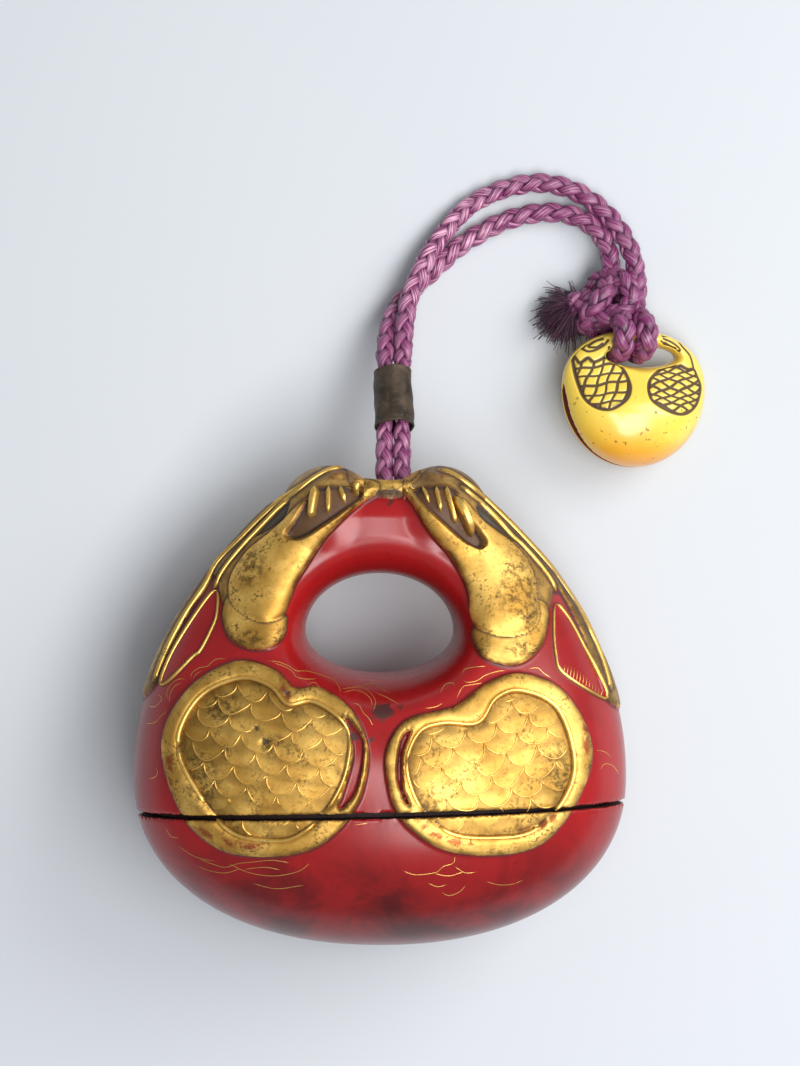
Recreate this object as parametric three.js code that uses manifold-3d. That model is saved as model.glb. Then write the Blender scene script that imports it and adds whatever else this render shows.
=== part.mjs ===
// Lacquered inro case in the form of a slit fish gong, lying on its back, with its cord, bead and toggle.
// Millimetres. X runs across the case, Y from its bottom towards the handle, Z up from the table.
// The origin is under the middle of the case, on the plane that the case rests on.

import * as THREE from 'three';
import { ParametricGeometry } from 'three/addons/geometries/ParametricGeometry.js';
import { mergeVertices } from 'three/addons/utils/BufferGeometryUtils.js';
import Module from 'manifold-3d';

// Case outline, seen from the front.
const caseHalfWidth = 34;
const widestY = -9.5;
const bottomY = -32.8;
const handleTopY = 31;
const handleCapHeight = 4;
const shoulderTaper = 0.9;
const shoulderReach = 47;
const shoulderPower = 2.1;
const roundness = 2.2;

// Case depth, seen from the side.
const bellyHalfDepth = 19;
const handleHalfDepth = 8.5;
const deepestY = -9;
const handleStartY = 24;
const handleTopRounding = 5;
const restFlatDepth = 0.5;

// Hole under the handle.
const holeX = -0.1;
const holeY = 10.6;
const holeHalfWidth = 10.2;
const holeRise = 7.9;
const holeDrop = 5.8;
const holeRounding = 5.5;

// Seam, fit and walls of the box.
const seamY = -13.7;
const seamTurn = 1.39 * Math.PI / 180;
const seamGap = 0.6;
const mouthWall = 2.8;
const floorWall = 3;
const holeWall = 3.2;
const riserWall = 1.4;
const riserHeight = 4.5;
const riserEndGap = 1.2;
const fitGap = 0.3;

// Raised carving: heights above the case.
const paddleHeight = 1.7;
const lobeHeight = 1.2;
const underPaddleHeight = 0.8;
const finHeight = 0.6;
const rimHeight = 0.95;
const rimHalfWidth = 1.15;
const fieldHeight = 0.3;
const backShare = 0.6;
const reliefRoot = 1;
const reliefSkirt = 0.35;

// Cord and the bead on it.
const cordDiameter = 2.1;
const cordGap = 0.34;
const beadWall = 0.3;
const beadLength = 9.2;
const touchGap = 0.3;
const cordBoreDepth = 3.4;

// Toggle.
const toggleHalfWidth = 10.45;
const toggleRise = 7.9;
const toggleDrop = 11.5;
const toggleWidestY = 1.8;
const toggleHalfDepth = 6.2;
const toggleBarHalfDepth = 2.9;
const toggleBarThickness = 2.2;
const toggleHoleHalfWidth = 5.2;
const toggleHoleRoom = 0.45;
const toggleHoleShift = 0.9;
const toggleSlitWidth = 1;
const toggleSlitDepth = 4;
const toggleSlitTopY = 2.4;
const toggleLean = 13 * Math.PI / 180;
const toggleFlat = 0.15;
const toggleAt = [35.85, 43.06];

const middleZ = bellyHalfDepth - restFlatDepth;

const wasm = await Module();
wasm.setup();

const lacquerRed = new THREE.MeshStandardMaterial({ name: 'red lacquer', color: 0xb02328, roughness: 0.3 });
const ivoryYellow = new THREE.MeshStandardMaterial({ name: 'stained ivory', color: 0xeec246, roughness: 0.4 });
const darkBronze = new THREE.MeshStandardMaterial({
  name: 'dark bronze', color: 0x5f503c, roughness: 0.5, metalness: 0.8,
});
const purpleSilk = new THREE.MeshStandardMaterial({ name: 'purple silk', color: 0x783278, roughness: 0.8 });

// Solids from closed geometries

function solidOf(geometry) {
  const bare = geometry.index ? geometry.toNonIndexed() : geometry.clone();
  bare.deleteAttribute('normal');
  bare.deleteAttribute('uv');
  const merged = mergeVertices(bare);
  const corner = merged.attributes.position;
  const index = merged.index.array;
  const a = new THREE.Vector3();
  const b = new THREE.Vector3();
  const c = new THREE.Vector3();
  const triangles = [];
  let sixVolumes = 0;
  for (let i = 0; i < index.length; i += 3) {
    const [p, q, r] = [index[i], index[i + 1], index[i + 2]];
    if (p === q || q === r || r === p) continue;
    triangles.push(p, q, r);
    a.fromBufferAttribute(corner, p);
    b.fromBufferAttribute(corner, q);
    c.fromBufferAttribute(corner, r);
    sixVolumes += a.dot(b.cross(c));
  }
  if (sixVolumes < 0) triangles.reverse();
  return new wasm.Manifold(new wasm.Mesh({
    numProp: 3,
    vertProperties: new Float32Array(corner.array),
    triVerts: new Uint32Array(triangles),
  }));
}

// The outside of a solid, without the slivers of air that close between carving and body.
function filled(solid) {
  const shells = solid.decompose().filter((shell) => shell.volume() > 0);
  return shells.reduce((most, shell) => (shell.volume() > most.volume() ? shell : most));
}

function meshOf(solid, name, material) {
  const { vertProperties, triVerts } = solid.getMesh();
  const geometry = new THREE.BufferGeometry();
  geometry.setAttribute('position', new THREE.BufferAttribute(new Float32Array(vertProperties), 3));
  geometry.setIndex(new THREE.BufferAttribute(new Uint32Array(triVerts), 1));
  geometry.computeVertexNormals();
  const mesh = new THREE.Mesh(geometry, material);
  mesh.name = name;
  return mesh;
}

// A surface closed on itself all round in its first direction.
function closedSurface(pointAt, around, along) {
  return new ParametricGeometry((u, v, target) => {
    const point = pointAt(u === 1 ? 0 : u, v);
    target.set(point[0], point[1], point[2]);
  }, around, along);
}

function box(size, at, turn = 0) {
  const geometry = new THREE.BoxGeometry(...size);
  geometry.rotateZ(turn);
  geometry.translate(...at);
  return solidOf(geometry);
}

function ellipsoid(at, radii, around = 20, along = 12) {
  const geometry = new THREE.SphereGeometry(1, around, along);
  geometry.rotateX(Math.PI / 2);
  geometry.scale(...radii);
  geometry.translate(...at);
  return solidOf(geometry);
}

// Form of a gong: a bell-shaped body that bends round a hole

const lower = (share) => Math.pow(Math.max(0, 1 - Math.pow(Math.min(1, share), roundness)), 1 / roundness);
const round = (share) => Math.sqrt(1 - THREE.MathUtils.clamp(share, 0, 1) ** 2);

function caseWidthAt(y) {
  if (y < widestY) return caseHalfWidth * lower((widestY - y) / (widestY - bottomY));
  const taper = shoulderTaper * Math.pow((y - widestY) / shoulderReach, shoulderPower);
  return caseHalfWidth * (1 - taper) * round((y - handleTopY + handleCapHeight) / handleCapHeight);
}

function caseDepthAt(y) {
  if (y < deepestY) return bellyHalfDepth * lower((deepestY - y) / (deepestY - bottomY));
  const share = Math.min(1, (y - deepestY) / (handleStartY - deepestY));
  const depth = handleHalfDepth + (bellyHalfDepth - handleHalfDepth) * (1 + Math.cos(Math.PI * share)) / 2;
  return depth * round((y - handleTopY + handleTopRounding) / handleTopRounding);
}

const gongCase = {
  widthAt: caseWidthAt,
  depthAt: caseDepthAt,
  hole: { x: holeX, y: holeY, halfWidth: holeHalfWidth, rise: holeRise, drop: holeDrop, rounding: holeRounding },
  low: bottomY,
  high: handleTopY,
};

function holeRadius(hole, angle) {
  const tall = Math.sin(angle) > 0 ? hole.rise : hole.drop;
  return 1 / Math.hypot(Math.cos(angle) / hole.halfWidth, Math.sin(angle) / tall);
}

function outlineRadius(form, angle) {
  let near = 0;
  let far = 4 * (form.high - form.low);
  for (let step = 0; step < 40; step += 1) {
    const radius = (near + far) / 2;
    const x = form.hole.x + radius * Math.cos(angle);
    const y = form.hole.y + radius * Math.sin(angle);
    const inside = y > form.low && y < form.high && Math.abs(x) < form.widthAt(y);
    if (inside) near = radius;
    else far = radius;
  }
  return near;
}

function halfDepthAt(form, x, y) {
  const width = Math.max(form.widthAt(y), 1e-6);
  const bell = form.depthAt(y) * lower(Math.abs(x) / width);
  const dx = x - form.hole.x;
  const dy = y - form.hole.y;
  const fromHole = Math.hypot(dx, dy) - holeRadius(form.hole, Math.atan2(dy, dx));
  return bell * round(1 - fromHole / form.hole.rounding);
}

function gongBody(form, middle, around, rings) {
  return solidOf(new ParametricGeometry((u, v, target) => {
    const angle = 2 * Math.PI * (u === 1 ? 0 : u);
    const turn = 2 * Math.PI * (v === 1 ? 0 : v);
    const share = (1 - Math.cos(turn)) / 2;
    const inner = holeRadius(form.hole, angle);
    const outer = outlineRadius(form, angle);
    const radius = inner + (outer - inner) * share;
    const x = form.hole.x + radius * Math.cos(angle);
    const y = form.hole.y + radius * Math.sin(angle);
    const atEdge = Math.abs(Math.sin(turn)) < 1e-9;
    const depth = atEdge ? 0 : halfDepthAt(form, x, y);
    target.set(x, y, middle + Math.sign(Math.sin(turn)) * depth);
  }, around, rings));
}

// Heads: two lumps at the top of the handle.
const headDepth = 9.6;
const headRadius = 6.6;
const heads = [
  { x: -6.9, y: 26.3 },
  { x: 8, y: 26.3 },
];

function headDepthAt(x, y) {
  const depths = heads.map((head) => headDepth * round(Math.hypot(x - head.x, y - head.y) / headRadius));
  return Math.max(...depths);
}

function carvedDepthAt(x, y) {
  return Math.max(halfDepthAt(gongCase, x, y), headDepthAt(x, y));
}

// A point at a height over the carved surface, along its normal, on the front (1) or the back (-1).
function overSurface(x, y, height, face) {
  const step = 0.2;
  const slopeX = (carvedDepthAt(x + step, y) - carvedDepthAt(x - step, y)) / (2 * step);
  const slopeY = (carvedDepthAt(x, y + step) - carvedDepthAt(x, y - step)) / (2 * step);
  const limit = Math.hypot(slopeX, slopeY, 1);
  const share = height / limit;
  return [
    x - slopeX * share,
    y - slopeY * share,
    middleZ + face * (carvedDepthAt(x, y) + share),
  ];
}

// A raised leaf along a spine of [x, y, half width] points, round at its ends or closed on itself.
function leaf({ spine, height, face, closed = false, steps = 10, sides = 6 }) {
  const plan = new THREE.CatmullRomCurve3(spine.map(([x, y]) => new THREE.Vector3(x, y, 0)), closed);
  const widths = new THREE.CatmullRomCurve3(spine.map(([, , half], i) => new THREE.Vector3(i, half, 0)), false);
  return solidOf(closedSurface((u, v) => {
    const along = closed && v === 1 ? 0 : v;
    const share = closed ? along : (1 - Math.cos(Math.PI * along)) / 2;
    const middle = plan.getPoint(share);
    const ahead = plan.getTangent(share);
    const ends = closed ? 1 : Math.pow(Math.sin(Math.PI * along), 0.5) * (along > 0 && along < 1 ? 1 : 0);
    const half = (closed ? spine[0][2] : widths.getPoint(share).y) * ends;
    const turn = 2 * Math.PI * u;
    const across = half * Math.sign(Math.cos(turn)) * Math.pow(Math.abs(Math.cos(turn)), 0.55);
    const swell = Math.sin(turn) > 0
      ? (height + reliefSkirt) * Math.pow(Math.sin(turn), 0.7)
      : (reliefRoot - reliefSkirt) * Math.sin(turn);
    const rise = swell * ends - reliefSkirt;
    return overSurface(middle.x - ahead.y * across, middle.y + ahead.x * across, rise, face);
  }, sides, steps));
}

// A flat raised plate inside an outline of corners, seen from a middle point.
function plate({ corners, height, face, steps = 4 }) {
  const outline = [];
  corners.forEach((corner, i) => {
    const next = corners[(i + 1) % corners.length];
    for (let step = 0; step < steps; step += 1) {
      const share = step / steps;
      outline.push([corner[0] + (next[0] - corner[0]) * share, corner[1] + (next[1] - corner[1]) * share]);
    }
  });
  const centre = [0, 1].map((axis) => outline.reduce((sum, point) => sum + point[axis], 0) / outline.length);
  const rings = [[0, -reliefRoot], [1, -reliefRoot], [1, height * 0.6], [0.93, height], [0.5, height], [0, height]];
  return solidOf(closedSurface((u, v) => {
    const point = outline[Math.round(u * outline.length) % outline.length];
    const [size, rise] = rings[Math.round(v * (rings.length - 1))];
    const x = centre[0] + (point[0] - centre[0]) * size;
    const y = centre[1] + (point[1] - centre[1]) * size;
    return overSurface(x, y, rise, face);
  }, outline.length, rings.length - 1));
}

// The carving of each fish, seen from the front: its club-shaped body, the end under it and its fin.
const fishes = [
  {
    body: [[0.2, 29.5, 0.6], [-3, 28.4, 0.9], [-6.4, 25.8, 1.3], [-10, 22.3, 2.4], [-13.8, 18.9, 4.4],
      [-15.8, 15.6, 5], [-16.3, 11.4, 4]],
    lobe: [[-11.6, 25.2, 0.8], [-14.4, 22.4, 1.7], [-16.8, 18.6, 1.6]],
    end: { x: -17, y: 12.6, radius: 4.4 },
    fin: [[-22.3, 16], [-29.2, 4.6], [-24, 7.6]],
    rim: [[-28.1, -4.6], [-25, 2.2], [-19, 5.4], [-14.4, 4.4], [-11.7, 2], [-8.6, 2.1], [-4.8, -0.2], [-2.8, -3.8],
      [-3.2, -8.5], [-5.3, -13], [-9.3, -16.8], [-14.2, -18], [-20.4, -17.1], [-25, -12.7]],
  },
  {
    body: [[1.6, 29.6, 0.6], [4.6, 27.8, 0.9], [8.1, 24.8, 1.3], [11.6, 21, 2.5], [15.5, 17.4, 4.2],
      [17.1, 13.8, 4.6], [17.5, 9.6, 3.8]],
    lobe: [[11.8, 26.8, 0.8], [15.4, 23.8, 1.6], [19.4, 19, 1.5]],
    end: { x: 17.7, y: 11, radius: 4.9 },
    fin: [[24.2, 15], [24.6, 4.2], [30, 2.2]],
    rim: [[2.4, -5.6], [4.4, -1.9], [8.3, -0.6], [11.7, -0.3], [15.2, 2.8], [19.2, 3.8], [24.4, 1.2], [27.2, -6],
      [25.2, -12.2], [20.9, -16.7], [14.9, -17.8], [8.8, -16.9], [4.5, -13.5], [2.8, -9.8]],
  },
];
const backRimShift = 3;

// One fish's panel: a raised rim round a field that stands a little proud.
function panel(fish, face) {
  const shift = face > 0 ? 0 : backRimShift * Math.sign(fish.end.x);
  const share = face > 0 ? 1 : backShare;
  const spine = fish.rim.map(([x, y]) => [x + shift, y, rimHalfWidth]);
  const rim = leaf({ spine, height: rimHeight * share, face, closed: true, steps: face > 0 ? 28 : 16 });
  const corners = fish.rim.filter((_, i) => i % 2 === 0).map(([x, y]) => [x + shift, y]);
  return rim.add(plate({ corners, height: fieldHeight * share, face, steps: 1 }));
}

function carving(face) {
  const share = face > 0 ? 1 : backShare;
  let relief = null;
  const put = (solid) => {
    relief = relief ? relief.add(solid) : solid;
  };
  for (const fish of fishes) {
    const { x, y, radius } = fish.end;
    put(leaf({ spine: fish.body, height: paddleHeight * share, face }));
    const disc = [[x, y + radius, radius], [x, y, radius], [x, y - radius, radius]];
    put(leaf({ spine: disc, height: underPaddleHeight * share, face, steps: 6 }));
    if (face > 0) {
      put(leaf({ spine: fish.lobe, height: lobeHeight, face, steps: 6 }));
      put(plate({ corners: fish.fin, height: finHeight, face, steps: 3 }));
    }
    put(panel(fish, face));
  }
  return relief;
}

// Box: the hollow, the seam and the riser that the lid slides over

const mouthHalfWidth = caseWidthAt(seamY) - mouthWall;
const mouthHalfDepth = caseDepthAt(seamY) - mouthWall;
const socketDepth = riserHeight + riserEndGap;

// A closed hollow form from rings of [height over the seam, share of its half width and half depth].
function vessel(rings, halfWidth, halfDepth) {
  const last = rings.length - 1;
  const geometry = closedSurface((u, v) => {
    const row = Math.round(v * last);
    const [height, share] = rings[row];
    const turn = 2 * Math.PI * u;
    const stretch = share / Math.pow(
      Math.abs(Math.cos(turn)) ** roundness + Math.abs(Math.sin(turn)) ** roundness, 1 / roundness);
    return [halfWidth * Math.cos(turn) * stretch, height, halfDepth * Math.sin(turn) * stretch];
  }, 36, last);
  geometry.rotateZ(seamTurn);
  geometry.translate(0, seamY, middleZ);
  return solidOf(geometry);
}

function dome(start, reach, steps = 6) {
  return Array.from({ length: steps }, (_, i) => {
    const share = (i + 1) / steps;
    return [start + reach * Math.sin(share * Math.PI / 2), i + 1 === steps ? 0 : Math.cos(share * Math.PI / 2)];
  });
}

function lidHollow() {
  const roof = holeY - holeDrop - holeWall - seamY - socketDepth;
  const rings = [[-1, 0], [-1, 1], [socketDepth, 1], ...dome(socketDepth, roof)];
  return vessel(rings, mouthHalfWidth, mouthHalfDepth);
}

function bowlHollow() {
  const inset = fitGap + riserWall;
  const reach = seamY - bottomY - floorWall;
  const top = riserHeight + 1;
  const rings = [[top, 0], [top, 1], [0, 1], ...dome(0, -reach)];
  return vessel(rings, mouthHalfWidth - inset, mouthHalfDepth - inset);
}

function riser() {
  const rings = [[-1.5, 0], [-1.5, 1], [riserHeight, 1], [riserHeight, 0]];
  return vessel(rings, mouthHalfWidth - fitGap, mouthHalfDepth - fitGap);
}

function sideOfSeam(sign) {
  const reach = 120;
  const offset = sign * (reach / 2 + seamGap / 2);
  const at = [-offset * Math.sin(seamTurn), seamY + offset * Math.cos(seamTurn), middleZ];
  return box([2 * reach, reach, reach], at, seamTurn);
}

// Cord: two strands from the top of the handle, through the bead, to the knot on the toggle

const strandOuterPoints = [
  [3.04, 28.61, 17.6], [3.04, 30.97, 17.3], [3.04, 34.19, 15.9], [3.06, 38.28, 13.9], [3.08, 42.69, 11.9],
  [3.1, 46.71, 9.8], [3.2, 49.88, 8.3], [3.47, 53.52, 6.8], [4.19, 57.58, 5.5], [6.04, 62.1, 4.1],
  [8.48, 66.2, 2.8], [12.35, 70.53, 1.8], [15.78, 72.55, 1.5], [19.22, 73.69, 1.5], [22.8, 74.12, 1.5],
  [26.65, 73.39, 1.6], [29.93, 71.65, 1.9], [32.89, 68.87, 2.6], [34.96, 65.64, 3.7], [36.1, 62.27, 5],
  [36.3, 58.8, 6.3],
];
const strandInnerPoints = [
  [0.6, 28.61, 17.6], [0.6, 30.97, 17.3], [0.6, 34.19, 15.9], [0.62, 38.28, 13.9], [0.64, 42.69, 11.9],
  [0.66, 46.71, 9.75], [0.72, 49.91, 7.6], [1.2, 53.45, 5], [2.34, 56.28, 3], [4.19, 58.51, 1.8],
  [6.34, 60.53, 1.5], [8.49, 62.53, 1.5], [10.78, 64.68, 1.5], [13.78, 66.68, 1.5], [17.79, 68.68, 1.5],
  [22.65, 69.83, 1.5], [27.08, 69.53, 1.6], [30.21, 67.92, 2], [32.16, 65.29, 2.8], [32.81, 62.35, 3.9],
  [32.7, 59.5, 5],
];

function disc(radius, sides) {
  const shape = new THREE.Shape();
  for (let side = 0; side < sides; side += 1) {
    const turn = 2 * Math.PI * (side + 0.5) / sides;
    if (side === 0) shape.moveTo(radius * Math.cos(turn), radius * Math.sin(turn));
    else shape.lineTo(radius * Math.cos(turn), radius * Math.sin(turn));
  }
  shape.closePath();
  return shape;
}

function strand(points, name) {
  const route = new THREE.CatmullRomCurve3(points.map((point) => new THREE.Vector3(...point)));
  const steps = Math.ceil(route.getLength() / (2.2 * cordDiameter));
  const tube = new THREE.ExtrudeGeometry(disc(cordDiameter / 2, 8), { steps, extrudePath: route });
  return meshOf(solidOf(tube), name, purpleSilk);
}

// Between the two strands, halfway along the bead and at the top of the handle.
const strandsMiddle = (row) => [0, 1, 2].map((axis) => (
  strandOuterPoints[row][axis] + strandInnerPoints[row][axis]) / 2);
const beadRow = 4;
const beadBore = cordDiameter + cordGap / 2 + touchGap;

function bead() {
  const [x, y, z] = strandsMiddle(beadRow);
  const [, nearY, nearZ] = strandsMiddle(beadRow - 1);
  const [, farY, farZ] = strandsMiddle(beadRow + 1);
  const profile = [
    new THREE.Vector2(beadBore, -beadLength / 2), new THREE.Vector2(beadBore + beadWall, -beadLength / 2),
    new THREE.Vector2(beadBore + beadWall, beadLength / 2), new THREE.Vector2(beadBore, beadLength / 2),
    new THREE.Vector2(beadBore, -beadLength / 2),
  ];
  const tube = new THREE.LatheGeometry(profile, 24);
  const mesh = meshOf(solidOf(tube), 'ojime_bead', darkBronze);
  mesh.position.set(x, y, z);
  mesh.rotation.x = Math.atan2(farZ - nearZ, farY - nearY);
  return mesh;
}

function cordBore() {
  const [x, startY, z] = strandsMiddle(0);
  const half = (strandOuterPoints[0][0] - strandInnerPoints[0][0]) / 2;
  const radius = cordDiameter / 2 + 2 * touchGap;
  const shape = new THREE.Shape();
  shape.absarc(half, 0, radius, -Math.PI / 2, Math.PI / 2, false);
  shape.absarc(-half, 0, radius, Math.PI / 2, 1.5 * Math.PI, false);
  shape.closePath();
  const slot = new THREE.ExtrudeGeometry(shape, { depth: 3 * cordBoreDepth, bevelEnabled: false, curveSegments: 5 });
  slot.rotateX(-Math.PI / 2);
  slot.translate(x, startY - touchGap - 0.5, z - 0.15);
  return solidOf(slot);
}

// Toggle: a small gong of the same form, with its cord hole near the top and a slit round its lower edge

const toggleTopY = toggleWidestY + toggleRise;
const toggleLowY = toggleWidestY - toggleDrop;
const toggleHoleDrop = cordDiameter / 2 + toggleHoleRoom;
const toggleHoleY = toggleTopY - toggleBarThickness - toggleHoleDrop;

const gongToggle = {
  widthAt: (y) => toggleHalfWidth * (y > toggleWidestY
    ? lower((y - toggleWidestY) / toggleRise)
    : round((toggleWidestY - y) / toggleDrop)),
  depthAt: (y) => {
    if (y < -2.5) return toggleHalfDepth * lower((-2.5 - y) / (-2.5 - toggleLowY));
    const share = Math.min(1, (y + 2.5) / (toggleHoleY + 2.5));
    const depth = toggleBarHalfDepth
      + (toggleHalfDepth - toggleBarHalfDepth) * (1 + Math.cos(Math.PI * share)) / 2;
    return depth * round((y - toggleTopY + toggleBarThickness / 2) / (toggleBarThickness / 2));
  },
  hole: {
    x: toggleHoleShift, y: toggleHoleY, halfWidth: toggleHoleHalfWidth,
    rise: toggleHoleDrop, drop: toggleHoleDrop, rounding: toggleBarThickness / 2,
  },
  low: toggleLowY,
  high: toggleTopY,
};

function toggleSlit() {
  const shape = new THREE.Shape();
  const out = 2 * toggleDrop;
  shape.moveTo(-out, toggleSlitTopY);
  shape.lineTo(-out, -out);
  shape.lineTo(out, -out);
  shape.lineTo(out, toggleSlitTopY);
  shape.closePath();
  const core = new THREE.Path();
  core.absellipse(0, toggleWidestY, toggleHalfWidth - toggleSlitDepth, toggleDrop - toggleSlitDepth, 0,
    2 * Math.PI, true);
  const keep = new THREE.Shape(core.getPoints(10));
  const settings = { depth: toggleSlitWidth, bevelEnabled: false };
  const cut = new THREE.ExtrudeGeometry(shape, settings).translate(0, 0, -toggleSlitWidth / 2);
  const settingsInside = { depth: 2 * toggleSlitWidth, bevelEnabled: false };
  const inside = new THREE.ExtrudeGeometry(keep, settingsInside).translate(0, 0, -toggleSlitWidth);
  return solidOf(cut).subtract(solidOf(inside));
}

const toggleTurn = new THREE.Matrix4().makeRotationY(toggleLean).setPosition(
  ...toggleAt, toggleHalfDepth - toggleFlat);

function placed(solid) {
  return solid.transform(toggleTurn.elements);
}

function toggle() {
  const body = placed(gongBody(gongToggle, 0, 32, 12).subtract(toggleSlit()));
  const below = box([100, 200, 40], [toggleAt[0], toggleAt[1], -20]);
  return meshOf(body.subtract(below), 'netsuke', ivoryYellow);
}

// The cord's knot: two turns round the toggle's bar, the knot itself, and the short frayed end.
function knot() {
  const barY = toggleTopY - toggleBarThickness / 2;
  const radius = cordDiameter / 2;
  const ringY = toggleBarThickness / 2 + toggleHoleDrop;
  const ringZ = toggleBarHalfDepth + touchGap + radius;
  let solid = null;
  for (const x of [-1.2, 1.7]) {
    const ring = new THREE.TorusGeometry(2, 1, 6, 14);
    const corner = ring.attributes.position;
    for (let i = 0; i < corner.count; i += 1) {
      const turn = Math.atan2(corner.getY(i), corner.getX(i));
      const off = (Math.hypot(corner.getX(i), corner.getY(i)) - 2) * radius;
      corner.setXYZ(i, x + corner.getZ(i) * radius, barY + (ringY + off) * Math.sin(turn),
        (ringZ + off) * Math.cos(turn));
    }
    solid = solid ? solid.add(solidOf(ring)) : solidOf(ring);
  }
  solid = placed(solid);
  const [x, y] = toggleAt;
  solid = solid.add(ellipsoid([x - 0.8, y + 12.9, 6.3], [3.8, 2.4, 2.6], 12, 8));
  solid = solid.add(ellipsoid([x - 5, y + 12.8, 4.9], [3.8, 1.9, 2], 12, 6));
  return solid.add(ellipsoid([x - 10.4, y + 11.2, 3.3], [3, 4.7, 2.7], 12, 8));
}

// Assembly

function gongCaseSolid() {
  let solid = gongBody(gongCase, middleZ, 48, 18);
  for (const { x, y } of heads) {
    solid = solid.add(ellipsoid([x, y, middleZ], [headRadius, headRadius, headDepth], 16, 10));
  }
  for (const face of [1, -1]) solid = solid.add(carving(face));
  return solid.subtract(box([200, 200, 40], [0, 0, -20])).subtract(cordBore());
}

const whole = gongCaseSolid();
const lid = filled(whole.intersect(sideOfSeam(1)).subtract(lidHollow()));
const bowl = filled(whole.intersect(sideOfSeam(-1)).add(riser()).subtract(bowlHollow()));

const inro = new THREE.Group();
inro.name = 'inro';
inro.add(meshOf(lid, 'lid', lacquerRed));
inro.add(meshOf(bowl, 'bowl', lacquerRed));
inro.add(strand(strandOuterPoints, 'cord_strand_outer'));
inro.add(strand(strandInnerPoints, 'cord_strand_inner'));
inro.add(bead());
inro.add(toggle());
inro.add(meshOf(knot(), 'cord_knot', purpleSilk));

export default inro;
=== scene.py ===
import math

import bmesh
import bpy
import numpy as np
from bpy.props import FloatProperty, FloatVectorProperty, IntProperty, PointerProperty
from mathutils import Matrix, Vector


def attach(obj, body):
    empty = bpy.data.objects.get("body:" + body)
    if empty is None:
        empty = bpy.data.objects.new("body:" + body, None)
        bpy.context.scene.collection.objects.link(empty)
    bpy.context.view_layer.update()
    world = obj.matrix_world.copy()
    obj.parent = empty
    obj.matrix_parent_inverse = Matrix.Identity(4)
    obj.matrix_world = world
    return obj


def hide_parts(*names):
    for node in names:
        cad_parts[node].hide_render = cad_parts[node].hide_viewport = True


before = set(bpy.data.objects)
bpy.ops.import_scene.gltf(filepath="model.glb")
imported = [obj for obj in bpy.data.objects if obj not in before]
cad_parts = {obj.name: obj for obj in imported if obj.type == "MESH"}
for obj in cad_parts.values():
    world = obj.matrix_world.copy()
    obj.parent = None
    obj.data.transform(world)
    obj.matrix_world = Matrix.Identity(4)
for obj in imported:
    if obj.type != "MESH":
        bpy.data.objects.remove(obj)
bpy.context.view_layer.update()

bl_info = {
    "name": "Fish gong inro",
    "version": (1, 0, 0),
    "blender": (4, 5, 0),
    "location": "View3D > Sidebar > Inro",
    "description": "Builds a lacquered inro case with its cord, bead and toggle",
    "category": "Add Mesh",
}

MM = 0.001
TAU = 2 * math.pi

# Case form, in millimetres: X across, Y from the bottom to the handle, Z up from the floor.
ROUNDNESS = 2.2
CASE_HALF_WIDTH = 34
CASE_LOW = -32.8
CASE_HIGH = 31
CASE_WIDEST = -9.5
CASE_DEEPEST = -9
BELLY_HALF_DEPTH = 19
HANDLE_HALF_DEPTH = 8.5
SHOULDER_TAPER = 0.9
SHOULDER_REACH = 47
SHOULDER_POWER = 2.1
HANDLE_START = 24
HANDLE_CAP = 4
HANDLE_ROUNDING = 5
MIDDLE_Z = 18.5
RELIEF_FADE = 1.6
# Hole under the handle: centre, half width, rise, drop and the rounding of its edge.
CASE_HOLE = (-0.1, 10.6, 10.2, 7.9, 5.8, 5.5)
# Heads that swell out of the handle: centre, radius and half depth.
HEADS = ((-6.9, 26.3, 6.6, 8.7), (8, 26.3, 6.6, 8.7), (-9.2, 24.5, 6, 6.9), (10.7, 24.1, 6, 6.9))

# Box: seam, socket, riser and hollows.
SEAM_Y = -13.7
SEAM_TURN = math.radians(1.39)
SEAM_HALF_GAP = 0.3
SEAM_WEAR = 3
MOUTH_WALL = 2.8
RISER_HEIGHT = 4.5
SOCKET_DEPTH = 5.7
LID_DOME = 9.6
BOWL_REACH = 16.1
FIT_GAP = 0.3
RISER_WALL = 1.4
RISER_BEVEL = 0.2
MOUTH_BEVEL = 0.16

# Bore of the cord in the top of the handle: a slot with round ends.
BORE_X = 1.82
BORE_SPREAD = 1.22
BORE_Z = 17.45
BORE_RADIUS = 1.75
BORE_END = 28

# Toggle, in its own frame: X across, Y up to its bar, Z towards the viewer.
TOGGLE_AT = (35.85, 43.06, 6.05)
TOGGLE_LEAN = math.radians(13)
TOGGLE_LOW = -9.7
TOGGLE_HIGH = 9.7
TOGGLE_WIDEST = 1.8
TOGGLE_DEEPEST = -2.5
TOGGLE_HALF_WIDTH = 10.45
TOGGLE_HALF_DEPTH = 6.2
BAR_HALF_DEPTH = 2.9
BAR_REACH = 8.5
BAR_ROUNDING = 1.1
# Hole under the bar, in the order of the case's.
TOGGLE_HOLE = (0.9, 6.0, 5.2, 1.5, 1.5, 1.1)
ENGRAVING_DEPTH = 0.15
# Slit: half its width, its upper ends, and the half width and depth of what it leaves uncut inside.
SLIT_GAPE = 0.62
SLIT_TOP = 2.4
SLIT_CORE = (6.45, 7.5)

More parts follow.
